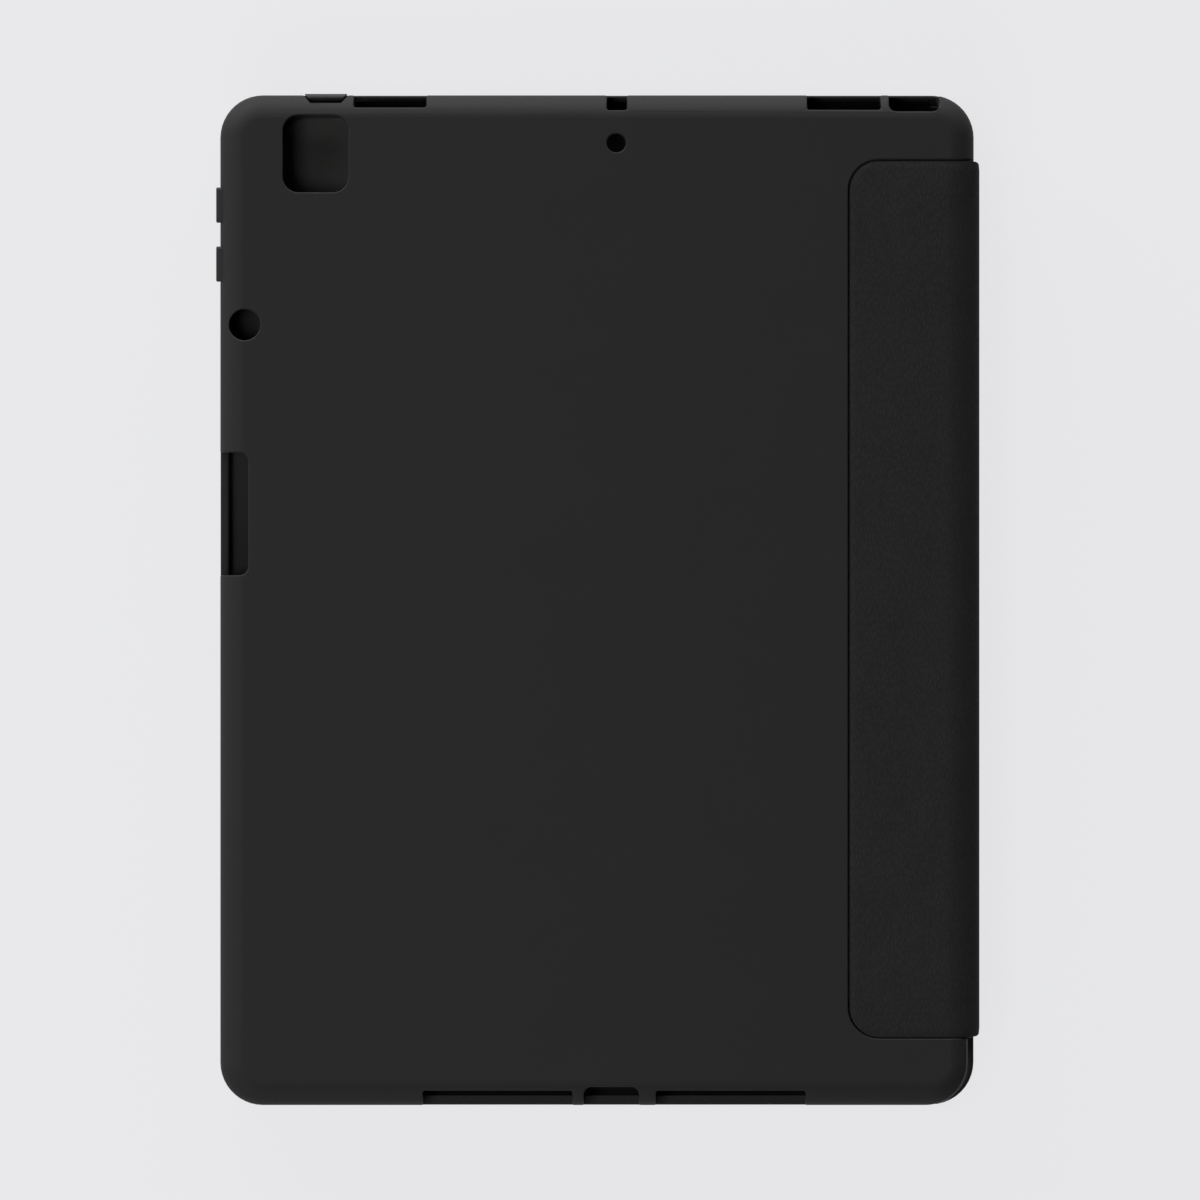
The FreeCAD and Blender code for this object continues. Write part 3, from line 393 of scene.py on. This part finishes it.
FINISHES = {
    # The tray's rubber has painted shade, near black, inside its pocket and behind its top rim
    "tray_rubber": moulded("tray_rubber", (0.0130, 0.0123, 0.0130), (0.0155, 0.0146, 0.0155), 0.70,
                           0.22 * MM, 0.012 * MM, 0.12, (POCKET_SHADE_ACROSS, POCKET_SHADE_ALONG, RIM_BACK_SHADE_BOX)),
    "button_rubber": moulded("button_rubber", (0.0150, 0.0145, 0.0152), (0.0180, 0.0174, 0.0182), 0.62,
                             0.22 * MM, 0.012 * MM, 0.2),
    "leatherette": leatherette("leatherette", (0.0106, 0.0098, 0.0102), (0.0186, 0.0173, 0.0181)),
    "stiffener": film("stiffener", (0.16, 0.13, 0.10), (0.24, 0.20, 0.15), 0.85),
    "adhesive": film("adhesive", (0.55, 0.55, 0.50), (0.66, 0.66, 0.61), 0.35),
    "magnet": brushed("magnet", (0.50, 0.50, 0.51), (0.62, 0.62, 0.63), 0.28),
    "keyboard_plastic": moulded("keyboard_plastic", (0.0052, 0.0052, 0.0055), (0.0072, 0.0072, 0.0076),
                                0.60, 0.18 * MM, 0.010 * MM, 0.2),
    "key_plastic": moulded("key_plastic", (0.013, 0.013, 0.014), (0.019, 0.019, 0.021), 0.60,
                           0.14 * MM, 0.006 * MM, 0.15),
    "palm_fabric": microfibre("palm_fabric", (0.0225, 0.0230, 0.0220), (0.0480, 0.0494, 0.0470)),
    "support_metal": brushed("support_metal", (0.56, 0.56, 0.58), (0.66, 0.66, 0.68), 0.35),
    "membrane_film": film("membrane_film", (0.40, 0.37, 0.28), (0.50, 0.47, 0.36), 0.30),
    "dome_rubber": moulded("dome_rubber", (0.42, 0.42, 0.42), (0.55, 0.55, 0.55), 0.45,
                           0.4 * MM, 0.01 * MM),
    "circuit_board": film("circuit_board", (0.012, 0.09, 0.035), (0.025, 0.14, 0.06), 0.40),
    "cell_foil": brushed("cell_foil", (0.60, 0.60, 0.62), (0.70, 0.70, 0.72), 0.30),
    "socket_metal": brushed("socket_metal", (0.45, 0.45, 0.46), (0.58, 0.58, 0.59), 0.25),
    "screw_steel": brushed("screw_steel", (0.26, 0.26, 0.27), (0.36, 0.36, 0.37), 0.35),
    "lens_plastic": film("lens_plastic", (0.62, 0.64, 0.64), (0.75, 0.77, 0.77), 0.15),
    "touchpad_plastic": moulded("touchpad_plastic", (0.021, 0.021, 0.023), (0.027, 0.027, 0.029), 0.52,
                                0.12 * MM, 0.003 * MM, 0.15),
    "switch_plastic": moulded("switch_plastic", (0.026, 0.026, 0.026), (0.036, 0.036, 0.036), 0.45,
                              0.2 * MM, 0.01 * MM),
}
BEAD_GLOSS = moulded("bead_gloss", (0.0150, 0.0142, 0.0150), (0.0180, 0.0170, 0.0180), 0.36,
                     0.22 * MM, 0.004 * MM, 0.4)
LEGEND_PRINT = film("legend_print", (0.52, 0.52, 0.53), (0.62, 0.62, 0.63), 0.55)


def paint_frame():
    """Gives every CAD node the finish of its slot."""
    for name, node in nodes.items():
        node.data.materials.clear()
        node.data.materials.append(FINISHES[slot_of_node[name]])


# Mesh helpers

def new_object(name, mesh):
    """A new object in the scene, for a mesh, curve, light or camera."""
    piece = bpy.data.objects.new(name, mesh)
    bpy.context.scene.collection.objects.link(piece)
    return piece


def finish_mesh(name, shape, materials, sharp_angle=40.0):
    """A new object from an edited mesh, shaded smooth except at sharp edges."""
    mesh = bpy.data.meshes.new(name)
    shape.to_mesh(mesh)
    shape.free()
    for material in materials:
        mesh.materials.append(material)
    mesh.polygons.foreach_set("use_smooth", [True] * len(mesh.polygons))
    mesh.set_sharp_from_angle(angle=math.radians(sharp_angle))
    return new_object(name, mesh)


def rounded_loop(low, high, radius, level, steps=6):
    """Points round a rounded rectangle in plan, against the clock, from its lower right corner."""
    corners = [
        (high.x - radius, low.y + radius, -90),
        (high.x - radius, high.y - radius, 0),
        (low.x + radius, high.y - radius, 90),
        (low.x + radius, low.y + radius, 180),
    ]
    points = []
    for middle_x, middle_y, start in corners:
        for step in range(steps + 1):
            angle = math.radians(start + 90 * step / steps)
            x = middle_x + radius * math.cos(angle)
            y = middle_y + radius * math.sin(angle)
            points.append(Vector((x, y, level)))
    return points


def inset_loop(low, high, radius, inset, level, steps=6):
    """The same loop, drawn in by an inset, with corners that stay round."""
    margin = Vector((inset, inset, 0))
    return rounded_loop(low + margin, high - margin, max(radius - inset, LEAST_CORNER), level, steps)


def loft(loops, closed=False, capped=True):
    """A surface through loops of equal count. It is closed on itself, or capped at its two ends."""
    shape = bmesh.new()
    rings = [[shape.verts.new(point) for point in loop] for loop in loops]
    pairs = list(zip(rings, rings[1:]))
    if closed:
        pairs.append((rings[-1], rings[0]))
    for ring, following in pairs:
        for index in range(len(ring)):
            after = (index + 1) % len(ring)
            shape.faces.new((ring[index], ring[after], following[after], following[index]))
    if capped and not closed:
        shape.faces.new(list(reversed(rings[0])))
        shape.faces.new(rings[-1])
    bmesh.ops.recalc_face_normals(shape, faces=shape.faces)
    return shape


def smooth_step(share):
    """A share from 0 to 1, eased at both ends."""
    share = min(max(share, 0.0), 1.0)
    return share * share * (3 - 2 * share)


def inside_box(point, box):
    """Whether a point lies in a box or on its border."""
    return all(low - SOFT_BORDER < value < high + SOFT_BORDER
               for low, value, high in zip(box[0], point, box[1]))


def plain_mesh(piece):
    """The piece's mesh with its modifiers applied."""
    return bpy.data.meshes.new_from_object(piece.evaluated_get(bpy.context.evaluated_depsgraph_get()))


def carved(shape, boxes):
    """A closed shape with boxes cut out of it."""
    blocks = bmesh.new()
    for low, high in boxes:
        place = Matrix.Translation((low + high) / 2) @ Matrix.Diagonal((*(high - low), 1))
        bmesh.ops.create_cube(blocks, size=1.0, matrix=place)
    body = finish_mesh("carved_body", shape, [])
    cutter = finish_mesh("cutter", blocks, [])
    cut = body.modifiers.new("cut", "BOOLEAN")
    cut.operation = "DIFFERENCE"
    cut.solver = "EXACT"
    cut.object = cutter
    result = bmesh.new()
    result.from_mesh(plain_mesh(body))
    for helper in (body, cutter):
        bpy.data.objects.remove(helper)
    return result


def softened(name, node, width, steps=3, grooves=()):
    """A copy of a rigid CAD node whose outer edges are rounded, as a mould leaves them. It stands for the
    node."""
    shape = bmesh.new()
    shape.from_mesh(nodes[node].data)
    bmesh.ops.remove_doubles(shape, verts=shape.verts, dist=MERGE_DISTANCE)
    if grooves:
        shape = carved(shape, grooves)
    bmesh.ops.dissolve_limit(shape, angle_limit=math.radians(FLAT_EDGE), verts=shape.verts, edges=shape.edges)
    rims = [edge for edge in shape.edges
            if edge.is_manifold and edge.is_convex and edge.calc_face_angle(0) > math.radians(SHARP_EDGE)
            and not any(inside_box(vertex.co, box) for vertex in edge.verts for box in grooves)]
    bmesh.ops.bevel(shape, geom=rims, offset=width, offset_type="OFFSET", segments=steps, profile=0.5,
                    affect="EDGES", clamp_overlap=False)
    low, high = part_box(node)
    for vertex in shape.verts:
        vertex.co = [min(max(value, least), most) for value, least, most in zip(vertex.co, low, high)]
    piece = finish_mesh(name, shape, [FINISHES[slot_of_node[node]]])
    weighted = piece.modifiers.new("flat_faces", "WEIGHTED_NORMAL")
    weighted.keep_sharp = True
    return stand_for(piece, node)


def stand_for(piece, node, *others):
    """Lets a piece ride on its node's body and hides the node."""
    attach(piece, nodes[node]["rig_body"])
    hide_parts(node, *others)
    return piece


# The tray and its buttons

def rim_grooves():
    """Boxes behind the thin rim that crosses the slots of the top edge."""
    boxes = {opening["name"]: opening["box_m"] for opening in frame["record"]["physics"]["openings"]}
    grooves = []
    for name in RIM_GROOVES:
        low, high = [Vector(corner) for corner in boxes[name]]
        grooves.append((Vector((low.x, *RIM_GROOVE_LOW.yz)), Vector((high.x, *RIM_GROOVE_HIGH.yz))))
    return grooves


def tray():
    """The tray's shell, its edge buttons and the bead on its stepped-in corner."""
    softened("tray_shell", "back_shell", TRAY_ROUNDING, grooves=rim_grooves())
    softened("volume_up_cap", "volume_up_button", BUTTON_ROUNDING)
    softened("volume_down_cap", "volume_down_button", BUTTON_ROUNDING)
    power_cap = softened("power_cap", "power_button", BUTTON_ROUNDING)
    ridge_back(power_cap, "power_button")
    corner_bead()


def ridge_back(piece, node):
    """Gives the back face of an edge button a ridge, from which it falls outwards and towards its hole."""
    low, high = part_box(node)
    ridge = high.y - POWER_CAP_RIDGE
    middle = (low.z + high.z) / 2
    shape = bmesh.new()
    shape.from_mesh(piece.data)
    bmesh.ops.bisect_plane(shape, geom=[*shape.verts, *shape.edges, *shape.faces],
                           plane_co=(0, ridge, 0), plane_no=(0, 1, 0))
    for vertex in shape.verts:
        share = smooth_step((vertex.co.z - middle) / (high.z - middle))
        vertex.co.z -= POWER_CAP_FALL * abs(vertex.co.y - ridge) * share
    shape.to_mesh(piece.data)
    shape.free()


def corner_bead():
    """A fine glossy bead along the stepped-in corner below the spine, from the flap to the bottom edge."""
    low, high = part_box("back_shell")
    flap_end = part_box("back_flap_skin")[0].y
    inner_x = high.x - RELIEF_WIDTH
    turn = Vector((inner_x - SHELL_CORNER, low.y + SHELL_CORNER))
    outer_turn = turn + Vector((RELIEF_WIDTH, 0))
    straight = [Vector((inner_x, flap_end - BEAD_START)), Vector((inner_x, (flap_end + turn.y) / 2))]
    angles = [math.radians(BEAD_TURN * step / BEAD_STEPS) for step in range(BEAD_STEPS + 1)]
    bend = [turn + SHELL_CORNER * Vector((math.cos(angle), -math.sin(angle))) for angle in angles]
    path = []
    for place in straight + bend:
        inward = RELIEF_WIDTH if place.y > turn.y else SHELL_CORNER - (place - outer_turn).length
        drop = SHELL_EDGE - math.sqrt(SHELL_EDGE ** 2 - (SHELL_EDGE - inward) ** 2)
        path.append(Vector((place.x, place.y, high.z - drop - BEAD_RADIUS / 2)))
    curve = bpy.data.curves.new("bead", "CURVE")
    curve.dimensions = "3D"
    curve.bevel_depth = BEAD_RADIUS
    curve.bevel_resolution = 3
    curve.use_fill_caps = True
    line = curve.splines.new("POLY")
    line.points.add(len(path) - 1)
    for point, place in zip(line.points, path):
        point.co = (*place, 1)
    drawn = new_object("bead_line", curve)
    mesh = plain_mesh(drawn)
    bpy.data.objects.remove(drawn)
    mesh.materials.clear()
    mesh.materials.append(BEAD_GLOSS)
    piece = new_object("corner_bead", mesh)
    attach(piece, "tray")


# Leather of the flap, the spine and the cover

def leather_profile(flap_left, spine_outer, back, low):
    """Outer line of the flap's leather across the spine, from the flap's edge: its flat stretch, and then its
    roll and the spine. A point is a place in X and Z and an outward direction."""
    roll_x = spine_outer - ROLL_WIDTH
    roll_z = back - ROLL_HEIGHT
    flat = [(flap_left + (roll_x - flap_left) * share, back, 0.0, 1.0) for share in FLAT_SHARES]
    turn = []
    for step in range(1, ROLL_STEPS + 1):
        angle = math.radians(90 - 90 * step / ROLL_STEPS)
        place = Vector((ROLL_WIDTH * math.cos(angle), ROLL_HEIGHT * math.sin(angle)))
        outward = Vector((place.x / ROLL_WIDTH ** 2, place.y / ROLL_HEIGHT ** 2)).normalized()
        turn.append((roll_x + place.x, roll_z + place.y, *outward))
    straight = [(spine_outer, roll_z + (low - roll_z) * step / SPINE_STEPS, 1.0, 0.0)
                for step in range(1, SPINE_STEPS + 1)]
    return flat, turn + straight


def flap_rows(low, high):
    """Places along the flap with how far its rounded corners draw in there."""
    rows = []
    corner_steps = 10
    for step in range(corner_steps + 1):
        angle = math.radians(90 * step / corner_steps)
        rows.append((FLAP_CORNER * (1 - math.cos(angle)), FLAP_CORNER * (1 - math.sin(angle))))
    length = high - low
    span = length - 2 * FLAP_CORNER
    middle = [(FLAP_CORNER + span * step / ROWS_ALONG, 0.0) for step in range(1, ROWS_ALONG)]
    mirrored = [(length - along, inset) for along, inset in reversed(rows)]
    return [(low + along, inset) for along, inset in rows + middle + mirrored]


def end_pull(x, spine_outer, row, length):
    """How far a point near the spine's outer face draws in from the nearer end, on a small round corner."""
    reach = min(max(x - spine_outer + SPINE_CORNER, 0.0), SPINE_CORNER)
    drawn = SPINE_CORNER - math.sqrt(SPINE_CORNER ** 2 - reach ** 2)
    fade = max(1 - min(row, length - row) / SPINE_CORNER_REACH, 0.0)
    towards_middle = 1 if row < length / 2 else -1
    return towards_middle * fade * drawn


def thick_sheet(grid, thickness):
    """A closed sheet from rows of outer places and outward directions."""
    shape = bmesh.new()
    skins = [[[shape.verts.new(place - outward * depth) for place, outward in line] for line in grid]
             for depth in (0.0, thickness)]
    for skin in skins:
        for line, following in zip(skin, skin[1:]):
            for index in range(len(line) - 1):
                shape.faces.new((line[index], line[index + 1], following[index + 1], following[index]))
    top, under = skins
    edge = ([(line[0], inner[0]) for line, inner in zip(top, under)]
            + list(zip(top[-1], under[-1]))[1:]
            + [(line[-1], inner[-1]) for line, inner in reversed(list(zip(top, under)))][1:]
            + list(zip(top[0], under[0]))[::-1][1:-1])
    for (first, first_under), (second, second_under) in zip(edge, edge[1:] + edge[:1]):
        shape.faces.new((first, second, second_under, first_under))
    bmesh.ops.recalc_face_normals(shape, faces=shape.faces)
    return shape


def flap_leather():
    """One sheet: the flap in its recess, the roll over the edge and the spine down to the cover's fold."""
    flap_low, flap_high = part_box("back_flap_skin")
    spine_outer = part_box("spine_skin")[1].x
    length = flap_high.y - flap_low.y
    flat, rest = leather_profile(flap_low.x, spine_outer, flap_high.z, FOLD_SEAM)
    roll_x = flat[-1][0]
    grid = []
    for along, inset in flap_rows(flap_low.y, flap_high.y):
        row = along - flap_low.y
        to_end = min(row, flap_high.y - along)
        line = []
        for x, z, across, up in flat:
            share = (x - flap_low.x) / (roll_x - flap_low.x)
            drawn = flap_low.x + inset + (roll_x - flap_low.x - inset) * share
            to_edge = min(drawn - flap_low.x - inset, to_end)
            line.append((drawn, z - EDGE_SINK * (1 - smooth_step(to_edge / EDGE_SINK_REACH)), across, up))
        end_sink = EDGE_SINK * (1 - smooth_step(to_end / EDGE_SINK_REACH))
        line += [(x - across * end_sink, z - up * end_sink, across, up) for x, z, across, up in rest]
        grid.append([(Vector((x, along + end_pull(x, spine_outer, row, length), z)), Vector((across, 0, up)))
                     for x, z, across, up in line])
    piece = finish_mesh("flap_leather", thick_sheet(grid, LEATHER), [FINISHES["leatherette"]])
    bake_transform(piece)
    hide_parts("back_flap_skin", "spine_skin")
    middle_line = [Vector((x, z)) - Vector((across, up)) * LEATHER / 2 for x, z, across, up in flat + rest]


def fold_leather():
    """The strip that turns from under the cover into the spine, round the cover's fold."""
    low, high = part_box("spine_skin")
    fold = place_of_joint["cover_fold"]
    radius = high.x - fold.x
    outer = [(fold.x - lap, 0.0) for lap in FOLD_LAPS]
    inner = [(x, LEATHER) for x, z in outer]
    for step in range(FOLD_STEPS + 1):
        share = step / FOLD_STEPS
        angle = math.radians(-90 + 90 * share)
        outer.append((fold.x + radius * math.cos(angle), fold.z + radius * math.sin(angle)))
        inner.append((high.x - LEATHER - FOLD_CREASE * (1 - share), LEATHER + FOLD_CREASE * share))
    outer.append((high.x, FOLD_SEAM))
    inner.append((high.x - LEATHER, FOLD_SEAM))
    section = outer + inner[::-1]
    length = high.y - low.y
    end_rows = [SPINE_CORNER_REACH * share for share in SPINE_CORNER_SHARES]
    middle_rows = [length * step / ROWS_ALONG for step in range(1, ROWS_ALONG)]
    loops = []
    for row in end_rows + middle_rows + [length - row for row in reversed(end_rows)]:
        loops.append([Vector((x, low.y + row + end_pull(x, high.x, row, length), z)) for x, z in section])
    piece = finish_mesh("fold_leather", loft(loops), [FINISHES["leatherette"]])
    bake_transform(piece)


def cover_leather():
    """The cover's board, wrapped in leather outside and lined inside, with rolled edges."""
    low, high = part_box("cover_skin")
    edge = high.z / 2
    edge_steps = 10
    corner_steps = 10
    loops = []
    for step in range(edge_steps + 1):
        angle = math.radians(-90 + 180 * step / edge_steps)
        inset = edge * (1 - math.cos(angle))
        level = edge + edge * math.sin(angle)
        loops.append(inset_loop(low, high, SHELL_CORNER, inset, level, corner_steps))
    shape = loft(loops)
    for face in shape.faces:
        face.material_index = 1 if face.normal.z > LINING_FACING else 0
    piece = finish_mesh("cover_leather", shape, [FINISHES["leatherette"], FINISHES["palm_fabric"]])
    stand_for(piece, "cover_skin", "cover_board", "cover_magnets")


def spine_lining():
    """Lining over the spine's board, which shows when the case is open."""
    low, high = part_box("spine_board")
    inner = low.x - LINING_PROUD
    sloped = inner + LINING_SLOPE_IN
    outline = [
        (high.x, low.z - LINING_REACH), (sloped, low.z - LINING_SLOPE_UP), (inner, low.z),
        (inner, high.z), (sloped, high.z + LINING_SLOPE_UP), (high.x, high.z + LINING_REACH),
    ]
    ends = [(low.y - LINING_REACH, LINING_END_DRAW), (low.y, 0.0),
            (high.y, 0.0), (high.y + LINING_REACH, LINING_END_DRAW)]
    loops = [[Vector((min(x + drawn, high.x), along, z)) for x, z in outline] for along, drawn in ends]
    piece = finish_mesh("spine_lining", loft(loops), [FINISHES["palm_fabric"]])
    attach(piece, "spine")
    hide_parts("spine_board")


# The keyboard

def row_tree():
    """Geometry Nodes that repeat one key side by side towards -Y."""
    tree = bpy.data.node_groups.new("key_row", "GeometryNodeTree")
    sockets = tree.interface
    sockets.new_socket("Key", in_out="INPUT", socket_type="NodeSocketGeometry")
    count = sockets.new_socket("Count", in_out="INPUT", socket_type="NodeSocketInt")
    pitch = sockets.new_socket("Pitch", in_out="INPUT", socket_type="NodeSocketFloat")
    finish = sockets.new_socket("Finish", in_out="INPUT", socket_type="NodeSocketMaterial")
    sockets.new_socket("Keys", in_out="OUTPUT", socket_type="NodeSocketGeometry")
    source = tree.nodes.new("NodeGroupInput")
    result = tree.nodes.new("NodeGroupOutput")
    step = tree.nodes.new("ShaderNodeCombineXYZ")
    back = tree.nodes.new("ShaderNodeMath")
    back.operation = "MULTIPLY"
    back.inputs[1].default_value = -1.0
    line = tree.nodes.new("GeometryNodeMeshLine")
    spread = tree.nodes.new("GeometryNodeInstanceOnPoints")
    whole = tree.nodes.new("GeometryNodeRealizeInstances")
    paint = tree.nodes.new("GeometryNodeSetMaterial")
    for start, end in [
        (source.outputs["Count"], line.inputs["Count"]),
        (source.outputs["Pitch"], back.inputs[0]),
        (back.outputs[0], step.inputs["Y"]),
        (step.outputs[0], line.inputs["Offset"]),
        (line.outputs["Mesh"], spread.inputs["Points"]),
        (source.outputs["Key"], spread.inputs["Instance"]),
        (spread.outputs[0], whole.inputs[0]),
        (whole.outputs[0], paint.inputs["Geometry"]),
        (source.outputs["Finish"], paint.inputs["Material"]),
        (paint.outputs[0], result.inputs["Keys"]),
    ]:
        tree.links.new(start, end)
    return tree, {"Count": count.identifier, "Pitch": pitch.identifier, "Finish": finish.identifier}


def key_shape(low, high, top):
    """One key: its flange under the deck, drawn-in sides, a rounded rim and a shallow dish."""
    cap_low = low + Vector((KEY_FLANGE, KEY_FLANGE, 0))
    cap_high = high - Vector((KEY_FLANGE, KEY_FLANGE, 0))
    half = min(cap_high.x - cap_low.x, cap_high.y - cap_low.y) / 2
    base = low.z
    sections = [
        (-KEY_FLANGE, base),
        (-KEY_FLANGE, base + KEY_FLANGE_RIM),
        (0.0, base + KEY_FLANGE_TOP),
        (KEY_SIDE_INSET, base + KEY_SIDE_START),
    ]
    sections += [(inset * MM, top - depth * MM) for inset, depth in KEY_RIM]
    sections += [(half * share, top - depth * MM) for share, depth in KEY_DISH]
    return loft([inset_loop(cap_low, cap_high, KEY_CORNER, inset, level, 5) for inset, level in sections])


def keys():
    """Every group of keys, as one key that is repeated, with its legends."""
    tree, inputs = row_tree()
    for name, legends in LEGENDS.items():
        low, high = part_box(name)
        count = len(legends)
        pitch = (high.y - low.y + KEY_GAP - 2 * KEY_FLANGE) / count
        first_low = Vector((low.x, high.y - (pitch - KEY_GAP + 2 * KEY_FLANGE), low.z))
        first = finish_mesh(name + "_source", key_shape(first_low, high, high.z), [FINISHES["key_plastic"]])
        repeater = first.modifiers.new("row", "NODES")
        repeater.node_group = tree
        repeater[inputs["Count"]] = count
        repeater[inputs["Pitch"]] = pitch
        repeater[inputs["Finish"]] = FINISHES["key_plastic"]
        piece = new_object(name + "_caps", plain_mesh(first))
        bpy.data.objects.remove(first)
        stand_for(piece, name)
        middle = Vector(((low.x + high.x) / 2, (first_low.y + high.y) / 2, high.z))
        key_legends(name, legends, middle, pitch)


def key_legends(name, legends, first, pitch):
    """The printed characters of one group of keys, which read from the front edge of the keyboard."""
    shape = bmesh.new()
    for index, text in enumerate(legends):
        if not text:
            continue
        curve = bpy.data.curves.new("legend", "FONT")
        curve.body = text
        curve.size = LETTER_HEIGHT if len(text) == 1 else WORD_HEIGHT
        curve.align_x = "CENTER"
        curve.align_y = "CENTER"
        curve.extrude = PRINT_THICKNESS
        curve.resolution_u = 3
        writer = new_object("legend", curve)
        mesh = plain_mesh(writer)
        bpy.data.objects.remove(writer)
        place = first + Vector((0, -pitch * index, -PRINT_SINK))
        mesh.transform(Matrix.Translation(place) @ Matrix.Rotation(math.radians(-90), 4, "Z"))
        shape.from_mesh(mesh)
        bpy.data.meshes.remove(mesh)
    if not shape.faces:
        shape.free()
        return
    piece = finish_mesh(name + "_legends", shape, [LEGEND_PRINT])
    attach(piece, name)


def palm_pad():
    """Thin nap glued round the touchpad, with a soft outer rim and a cut-out for the pad."""
    low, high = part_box("palm_rest_pad")
    pad_low, pad_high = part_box("touchpad")
    margin = TOUCHPAD_FLANGE - TOUCHPAD_GAP
    hole_margin = Vector((margin, margin, 0))
    hole_low = pad_low + hole_margin
    hole_high = pad_high - hole_margin
    top = high.z
    profile = [(0.0, low.z), (PALM_LEAN, top - PALM_SHOULDER), (PALM_RIM, top), (2 * PALM_RIM, top)]
    loops = [inset_loop(low, high, PALM_CORNER, inset, level) for inset, level in profile]
    loops += [inset_loop(hole_low, hole_high, PALM_HOLE_CORNER, -inset, level)
              for inset, level in reversed(profile)]
    piece = finish_mesh("palm_pad", loft(loops, closed=True), [FINISHES["palm_fabric"]])
    stand_for(piece, "palm_rest_pad")


def keyboard():
    """The deck, the touchpad, the switch's thumb, the palm rest and the keys."""
    softened("keyboard_top", "keyboard_deck", KEYBOARD_ROUNDING, steps=2)
    softened("touchpad_plate", "touchpad", KEYBOARD_ROUNDING)
    softened("switch_thumb", "power_switch_slider", SWITCH_ROUNDING)
    palm_pad()
    keys()


# Floor, lights and camera

def floor():
    """A pale floor that keeps its tone in the picture and takes a soft shadow."""
    shape = bmesh.new()
    bmesh.ops.create_grid(shape, x_segments=1, y_segments=1, size=FLOOR_HALF)
    bmesh.ops.translate(shape, verts=shape.verts, vec=(0, 0, -FLOOR_DROP))
    pale = (*FLOOR_TONE, 1)
    finish = Finish("pale_floor", Base_Color=pale, Roughness=0.9, Specular_IOR_Level=0.0)
    rays = finish.add("ShaderNodeLightPath", {}, {}).socket.node
    camera_ray, glossy_ray, clear_ray = [Value(finish, rays.outputs[f"Is {kind} Ray"])
                                         for kind in ("Camera", "Glossy", "Transmission")]
    seen = camera_ray.at_least(glossy_ray).at_least(clear_ray)
    glow = finish.add("ShaderNodeEmission", {}, {"Color": pale, "Strength": 1.0})
    mixed = finish.add("ShaderNodeMixShader", {}, {0: FLOOR_GLOW * seen})
    mixer = mixed.socket.node
    finish.links.new(finish.shader.outputs[0], mixer.inputs[1])
    finish.links.new(glow.socket, mixer.inputs[2])
    finish.links.new(mixed.socket, finish.nodes["Material Output"].inputs["Surface"])
    finish_mesh("floor", shape, [finish.material])


def area_light(name, place, width, height, power):
    """A rectangular lamp that points at the object and isn't seen itself."""
    lamp = bpy.data.lights.new(name, "AREA")
    lamp.shape = "RECTANGLE"
    lamp.size = width
    lamp.size_y = height
    lamp.energy = power
    light = new_object(name, lamp)
    light.visible_camera = False
    light.location = place
    light.rotation_euler = (-Vector(place)).to_track_quat("-Z", "Y").to_euler()


def lights():
    """Soft light from the upper left, a wide low panel behind the top edge, and two weak low strips."""
    area_light("upper_left_softbox", place=(-0.46, -0.08, 1.00), width=0.40, height=0.40, power=4.0)
    area_light("wide_top_panel", place=(-0.36, 1.50, 0.33), width=3.4, height=0.62, power=84.0)
    area_light("low_left_strip", place=(-1.40, 0.10, 0.30), width=1.6, height=0.3, power=1.0)
    area_light("low_front_strip", place=(-0.36, -1.00, 0.72), width=1.0, height=0.4, power=9.0)
    world = bpy.data.worlds.new("studio")
    bpy.context.scene.world = world
    world.use_nodes = True
    background = world.node_tree.nodes["Background"]
    background.inputs["Color"].default_value = (1.0, 1.0, 1.0, 1)
    background.inputs["Strength"].default_value = ROOM_LIGHT


def camera():
    """Looks straight down on the back, through a long lens, with the photograph's framing."""
    low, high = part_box("back_shell")
    middle = (low + high) / 2
    lens = bpy.data.cameras.new("camera")
    lens.sensor_width = SENSOR
    lens.lens = SENSOR * CAMERA_HEIGHT / (PHOTO_SIDE * PIXEL)
    lens.clip_end = CLIP_END
    eye = new_object("camera", lens)
    eye.location = (middle.x + (PHOTO_SIDE / 2 - SHELL_PIXEL_X) * PIXEL,
                    middle.y + (SHELL_PIXEL_Y - PHOTO_SIDE / 2) * PIXEL, middle.z + CAMERA_HEIGHT)
    bpy.context.scene.camera = eye


bpy.context.scene.view_settings.view_transform = "Standard"
paint_frame()
tray()
flap_leather()
fold_leather()
cover_leather()
spine_lining()
keyboard()
floor()
lights()
camera()
